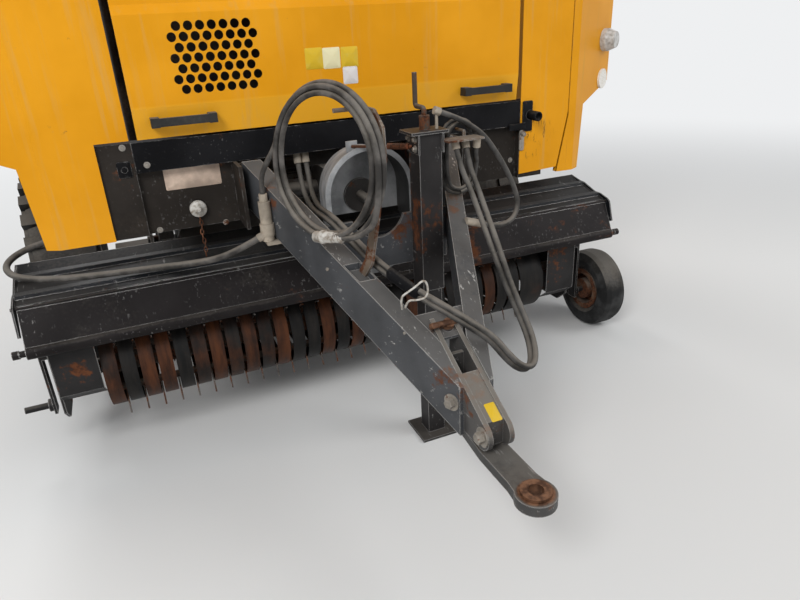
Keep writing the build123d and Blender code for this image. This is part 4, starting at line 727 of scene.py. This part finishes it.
def rubber(name, colour, dusty, scale):
    """Weathered rubber: fine cracks, a grey bloom, and dust, thickest on top."""
    material, tree, shader, place = new_material(name)
    cells = add(tree, "ShaderNodeTexVoronoi", {"Vector": place, "Scale": scale}, feature="DISTANCE_TO_EDGE")
    cracks = climb(tree, cells.outputs["Distance"], 0.0, 0.05)
    dusted = placed(tree, dust, place, Amount=dusty)["Mask"]
    deep, grey = tuple(c * 0.6 for c in colour), tuple(c * 2.3 + 0.006 for c in colour)
    bloom = mixed(tree, climb(tree, noise(tree, place, 14, 5), 0.36, 0.68), deep, grey)
    pores = calc(tree, "MULTIPLY", noise(tree, place, scale * 3), 0.4)
    feed(tree, shader, {
        "Base Color": mixed(tree, calc(tree, "MULTIPLY", dusted, 0.8), bloom, earth),
        "Roughness": 0.78,
        "Specular IOR Level": 0.25,
        "Normal": bump(tree, calc(tree, "ADD", cracks, pores), 0.25, 0.0015),
    })
    return material


dress(rubber("tyre rubber", (0.014, 0.014, 0.014), 0.42, 70), "tyre_left", "tyre_right")
dress(rubber("gauge tyre rubber", (0.013, 0.013, 0.013), 0.30, 90), "gauge_tyre")
rim_paint = coating("rim paint", (0.36, 0.33, 0.28), 0.5, edge=0.7, rusty=0.36, dusty=0.45)
dress(rim_paint, "rim_left", "rim_right")
rim_rust = coating("gauge rim rust", (0.15, 0.085, 0.05), 0.65, edge=0.4, rusty=0.62, dusty=0.35, size=14)
dress(rim_rust, "gauge_rim")
wheel_x, wheel_y, wheel_z = 1095, 2375, 450
stud_count, stud_circle, stud_out, stud_turn, nut_flats = 6, 100, 26, 0.3, 24
for side, wheel in ((-1, "wheel_left"), (1, "wheel_right")):
    nuts = []
    for k in range(stud_count):
        a = k * tau / stud_count + stud_turn
        y, z = wheel_y + stud_circle * cos(a), wheel_z + stud_circle * sin(a)
        nuts += bolt(at(side * (wheel_x + stud_out), y, z), (side, 0, 0), nut_flats)
    shells(wheel + "_nuts", nuts, wheel, plated, smooth=False)

# Tailgate: the rear half of the chamber swings up on two oil cylinders. Black barrels, chromed rods,
# red lamps on the cross beam.
cylinder_paint = coating("cylinder paint", (0.020, 0.020, 0.020), 0.35, edge=0.6, rusty=0.10, dusty=0.35)
dress(cylinder_paint, "cylinder_left", "cylinder_right")
rod_chrome = coating("rod chrome", (0.62, 0.62, 0.63), 0.16, edge=0.0, rusty=0.0, dusty=0.12, shine=1.0)
dress(rod_chrome, "cylinder_rod_left", "cylinder_rod_right")
red_lens, tree, shader, place = new_material("red lens")
facets = add(tree, "ShaderNodeTexVoronoi", {"Vector": place, "Scale": 130.0}, feature="F1")
grime = climb(tree, noise(tree, place, 20, 4), 0.4, 0.7)
feed(tree, shader, {
    "Base Color": mixed(tree, grime, (0.38, 0.012, 0.010), (0.16, 0.02, 0.015)),
    "Roughness": 0.2,
    "Coat Weight": 0.4,
    "Normal": bump(tree, facets.outputs["Distance"], 0.5, 0.002),
})
dress(red_lens, "tail_lamps")

# Pickup: a reel of sprung tines turns inside a row of bent steel bands, under a hinged wind guard.
# The bands are bare steel, some orange with rust and some dark; the sheets are black, dented and dusty,
# and the deck's black is made darker and bluer as painted shade.
deck_black_and_shade, guard_black, pickup_black = (0.006, 0.007, 0.009), (0.012, 0.010, 0.010), (0.016, 0.015, 0.015)
# The deck's bluish near black is partly black paint and partly painted shade.
deck_paint_and_shade = coating(
    "pickup deck paint and painted shade", deck_black_and_shade, 0.40, edge=0.7, rusty=0.10, dusty=-0.15, scratched=0.45,
    size=3.5, gloss=0.10,
)
dress(deck_paint_and_shade, "pickup_deck")
guard_paint = coating(
    "wind guard paint", guard_black, 0.45, edge=0.9, rusty=0.20, dusty=0.0, scratched=0.4,
    size=3.0, gloss=0.08,
)
dress(guard_paint, "wind_guard")
pickup_paint = coating(
    "pickup frame paint", pickup_black, 0.5, edge=0.8, rusty=0.20, dusty=0.15, size=6, gloss=0.15,
)
dress(pickup_paint, "pickup_frame", "end_covers", "gauge_arms")
first_band, band_pitch = 0.991, 0.062
band_steel, tree, shader, place = new_material("band steel")
band = add(tree, "ShaderNodeSeparateXYZ", {0: place}).outputs["X"]
for operation, value in (("ADD", first_band), ("DIVIDE", band_pitch), ("FLOOR", 0.0)):
    band = add(tree, "ShaderNodeMath", {0: band, 1: value}, operation=operation).outputs[0]
chance = add(tree, "ShaderNodeTexWhiteNoise", {"W": band}, noise_dimensions="1D").outputs["Value"]
rubbed = noise(tree, stretched(tree, place, 26, 5, 5), 1.0, 6, 0.65)
orange = mixed(tree, climb(tree, rubbed, 0.34, 0.66), (0.022, 0.008, 0.004), (0.085, 0.028, 0.010))
dull = mixed(tree, climb(tree, rubbed, 0.36, 0.70), (0.004, 0.004, 0.004), (0.018, 0.015, 0.013))
local = calc(tree, "MULTIPLY", noise(tree, place, 9, 3), 0.35)
tone = calc(tree, "ADD", calc(tree, "MULTIPLY", chance, 0.8), local)
feed(tree, shader, {
    "Base Color": mixed(tree, climb(tree, tone, 0.56, 0.72), dull, orange),
    "Roughness": calc(tree, "ADD", calc(tree, "MULTIPLY", rubbed, 0.3), 0.33),
    "Specular IOR Level": 0.18,
    "Normal": bump(tree, noise(tree, place, 120, 5), 0.3, 0.0015),
})
dress(band_steel, "bands")
tine_grey = (0.060, 0.045, 0.035)
tine_steel = coating("tine steel", tine_grey, 0.45, edge=0.5, rusty=0.45, dusty=0.15, shine=0.5, size=18)
dress(tine_steel, "reel")

# Hoses: two long black hoses, led over the drawbar and up to their couplings, and a short loop at
# the jack. Dusty rubber; the route points are the same as the tubes of the drawing.
cord_black = rubber("cord rubber", (0.036, 0.034, 0.032), 0.46, 160)
beige, beige_worn, holder_brown = (0.34, 0.29, 0.23), (0.55, 0.5, 0.42), (0.20, 0.15, 0.11)
fitting_beige = coating(
    "fitting plastic", beige, 0.52, edge=0.2, rusty=0.12, dusty=0.46, size=24, under=beige_worn,
)
dress(fitting_beige, "cord_fittings")
holder_steel = coating(
    "holder steel", holder_brown, 0.55, edge=0.6, rusty=0.50, dusty=0.36, shine=0.2, size=9,
)
dress(holder_steel, "cord_holders")


def cord_curve(name, route, diameter, material):
    """A smooth curve whose control points are the route, given in millimetres above the ground."""
    data = bpy.data.curves.new(name, "CURVE")
    data.dimensions = "3D"
    data.bevel_depth = diameter / 2
    data.bevel_resolution = 5
    data.resolution_u = 8
    data.use_fill_caps = True
    spline = data.splines.new("NURBS")
    spline.points.add(len(route) - 1)
    for point, (x, y, z) in zip(spline.points, route):
        point.co = (x / 1000, y / 1000, z / 1000 - eye_height, 1)
    spline.order_u = 3
    spline.use_endpoint_u = True
    data.materials.append(material)
    return put(name, data)


hose_route = [
    (-190, 1255, 1025), (-190, 1238, 960), (-192, 1180, 905), (-194, 1090, 890), (-196, 1000, 896),
    (-192, 915, 897), (-172, 830, 868), (-130, 700, 806), (-66, 550, 752), (-17, 475, 722),
    (44, 412, 678), (92, 378, 640), (128, 356, 584), (168, 348, 538), (216, 362, 514), (256, 402, 522),
    (276, 452, 562), (274, 506, 622), (260, 560, 704), (246, 616, 800), (246, 700, 900),
    (244, 764, 980), (236, 808, 1036), (232, 829, 1092),
]
second_shift = [(30, 0, 0), (30, 0, 0), (26, -2, 5), (18, -5, 11), (13, -8, 14), (11, -10, 15), (9, -11, 16)]
second_shift += [(6, -12, 17), (3, -12, 18), (3, -12, 18), (4, -12, 17), (6, -13, 15)]
second_shift += [(8, -13, 13)] * 7 + [(18, -8, 10), (24, 0, 6), (26, 0, 4), (32, 0, 2), (36, 0, 0)]
second_route = [tuple(a + b for a, b in zip(p, q)) for p, q in zip(hose_route, second_shift)]
loop_route = [
    (193, 866, 1209), (238, 862, 1192), (290, 854, 1164), (346, 848, 1122), (398, 848, 1054),
    (444, 850, 982), (474, 848, 918), (482, 838, 868), (456, 820, 830), (408, 804, 816), (354, 796, 822),
    (304, 796, 838),
]
hose_d = 0.018
for node, route, length in (
    ("hose_left", hose_route, 2.044),
    ("hose_right", second_route, 2.051),
    ("hose_loop", loop_route, 0.675),
):
    hose = cord_curve(node + "_line", route, hose_d, cord_black)
    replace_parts(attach(hose, "chassis"), node)

# Sleeve and clip: a black rubber sleeve keeps the two long hoses together where they cross the beam,
# on the line midway between them, and a bent white wire stands beside it on the beam.
sleeve_from, sleeve_to, sleeve_rows, sleeve_sides = 0.30, 1.25, 12, 20
sleeve_half_wide, sleeve_half_high, sleeve_lip = 22.5, 13, 0.97
first_row, last_row = 7, 10
between = [(np.array(p, float) + q) / 2 for p, q in zip(hose_route, second_route)][first_row:last_row]
way = np.linspace(sleeve_from, sleeve_to, sleeve_rows)[:, None]
first_run, second_run = between[1] - between[0], between[2] - between[1]
sleeve_line = between[0] + first_run * np.clip(way, 0, 1) + second_run * np.clip(way - 1, 0, 1)
sleeve_out = axes_of(sleeve_line[-1] - sleeve_line[0])[0]
spread_way = np.array(second_route[8], float) - hose_route[8]
spread_way -= sleeve_out * np.dot(spread_way, sleeve_out)
spread_way /= np.linalg.norm(spread_way)
thin_way = np.cross(sleeve_out, spread_way)
angle = np.arange(sleeve_sides)[None, :, None] * tau / sleeve_sides
swell = np.array([0, sleeve_lip] + [1] * (sleeve_rows - 4) + [sleeve_lip, 0])[:, None, None]
oval = sleeve_half_wide * np.cos(angle) * spread_way + sleeve_half_high * np.sin(angle) * thin_way
sleeve_grid = (sleeve_line[:, None, :] + swell * oval) / 1000 - np.array([0, 0, eye_height])
# The sleeve takes the sill's paint: near black with painted shade.
shells("hose_sleeve", [sleeve_grid], "chassis", sill_paint_and_shade)
clip_wire_d = 0.006
clip_route = [
    (-126, 494, 738), (-141, 470, 786), (-118, 470, 797), (-94, 470, 808), (-72, 468, 824), (-60, 468, 818),
    (-54, 469, 790), (-62, 470, 768), (-90, 472, 766), (-116, 478, 770), (-118, 490, 742),
]
clip_line = cord_curve("wire_clip_line", clip_route, clip_wire_d, cap_white)
wire_clip = put("wire_clip", bpy.data.meshes.new_from_object(clip_line))
bpy.data.objects.remove(clip_line)
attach(wire_clip, "chassis")

# Supply cable: a thick grey lead that comes out from under the left shield, lies on the pickup's deck
# and ends in the socket on its post.
cable_grey = rubber("cable rubber", (0.050, 0.046, 0.042), 0.44, 160)
cable_d = 0.022
power_route = [
    (-862, 1262, 905), (-922, 1302, 884), (-985, 1355, 858), (-1032, 1405, 841), (-1082, 1436, 826),
    (-1138, 1440, 813), (-1184, 1405, 800), (-1202, 1350, 788), (-1184, 1294, 776), (-1138, 1260, 764),
    (-1060, 1252, 750), (-960, 1256, 738), (-859, 1244, 736), (-729, 1190, 748), (-631, 1150, 755),
    (-544, 1100, 772), (-474, 1064, 802), (-405, 1048, 836),
]
cable_line = cord_curve("power_cable_line", power_route, cable_d, cable_grey)
power_cable = put("power_cable_skin", bpy.data.meshes.new_from_object(cable_line))
cable_line.data.bevel_depth = 0
cable_path = [v.co[:] for v in bpy.data.meshes.new_from_object(cable_line).vertices]
bpy.data.objects.remove(cable_line)
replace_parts(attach(power_cable, "chassis"), "power_cable")
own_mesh(power_cable)

# Cable coil: the spare length of the cable to the tractor, in loose turns hung on the holder's peg,
# tied at the back and fanned out in front. It starts at the socket on its post and ends in its plug.
coil_centre = np.array([-235.9, 762, 1110])
coil_out = np.array([1, 0.39211, -0.124])
coil_out /= np.linalg.norm(coil_out)
coil_along = np.array([-0.39211, 1, 0])
coil_along /= np.linalg.norm(coil_along)
coil_up = np.cross(coil_out, coil_along)


def wound(centre, along, up, out, half_long, half_high, start, turns, step, layer, fan):
    """Points of a coil's turns: an oval, or two half circles with straight sides where it is higher than
    long, whose half widths shrink by a step each turn of the first layer and grow again in the second,
    spread further where the turns fan out, in millimetres."""
    a_turn, change, change_turns, fan_at, wobble = 14, 1.85, 0.3, radians(205), 0.6
    straight = max(0, half_high - half_long)
    points = []
    for k in range(int(turns * a_turn) + 1):
        turn = k / a_turn
        angle = start + turn * tau
        second = min(1, max(0, (turn - change) / change_turns))
        inward = turn * step if turn < 2 else (4 - turn) * step
        spread = inward * (1 + fan * max(0, cos(angle - fan_at)))
        offset = layer * (second - 0.5) * 2 + wobble * sin(3 * angle)
        rise = sin(angle) * (half_high - straight - spread) + max(-1, min(1, 3 * sin(angle))) * straight
        spot = centre + along * cos(angle) * (half_long - spread) + up * rise + out * offset
        points.append(tuple(spot))
    return points


lead = [(-371, 1045, 985), (-371, 1045, 1032), (-356, 1026, 1078)]
coil_half_long, coil_half_high, coil_start, coil_turns = 257, 239, radians(8), 3.5
coil_step, coil_layer, coil_fan = 18.5, -9.2, 0.35
coil_round = wound(
    coil_centre, coil_along, coil_up, coil_out, coil_half_long, coil_half_high,
    coil_start, coil_turns, coil_step, coil_layer, coil_fan,
)
coil_end = [(-166, 556, 982), (-188, 590, 945), (-214, 634, 922), (-232, 676, 915)]
coil_d = 0.017
coil = cord_curve("cable_coil_line", lead + coil_round + coil_end, coil_d, cable_grey)
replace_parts(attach(coil, "chassis"), "cable_coil")
plug_way = np.array(coil_end[-1], float) - np.array(coil_end[-2])
plug_overlap, grip_rings, grip_pitch = 0.012, 4, 9
plug_profile = [(0, 4), (10, 0), (11, 6)]
for rise in range(0, grip_rings * grip_pitch, grip_pitch):
    plug_profile += [(15, 10 + rise), (15, 14 + rise), (12, 15 + rise), (12, 18 + rise)]
plug_profile += [(17, 50), (17, 84), (21, 86), (21, 96), (18, 98), (18, 126), (15, 128), (0, 128)]
plug_from = at(*coil_end[-1]) - plug_overlap * plug_way / np.linalg.norm(plug_way)
plug_shell = turned(plug_profile, plug_from, plug_way, sides=24)
plug = shells("cable_plug", [plug_shell], "chassis", cap_white)

# Hose hank: the thin spare hose, black rubber like the others, wound in a small oval that hangs
# beside the jack. It starts at the coupling next to those of the long hoses.
hank_centre = np.array([274, 888, 1054])
hank_along, hank_up, hank_out = np.array([1, 0, 0]), np.array([0, 0, -1]), np.array([0, -1, 0])
hank_half_long, hank_half_high, hank_start, hank_count = 74, 130, radians(38), 3.2
hank_step, hank_layer, hank_fan = 11, 8, 0.2
hank_route = [(306, 829, 1092), (308, 834, 1072), (318, 850, 1052), (334, 872, 1036)]
hank_d = 0.013
hank_round = wound(
    hank_centre, hank_along, hank_up, hank_out, hank_half_long, hank_half_high,
    hank_start, hank_count, hank_step, hank_layer, hank_fan,
)
hank = cord_curve("hose_coil_line", hank_route + hank_round, hank_d, cord_black)
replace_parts(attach(hank, "chassis"), "hose_coil")
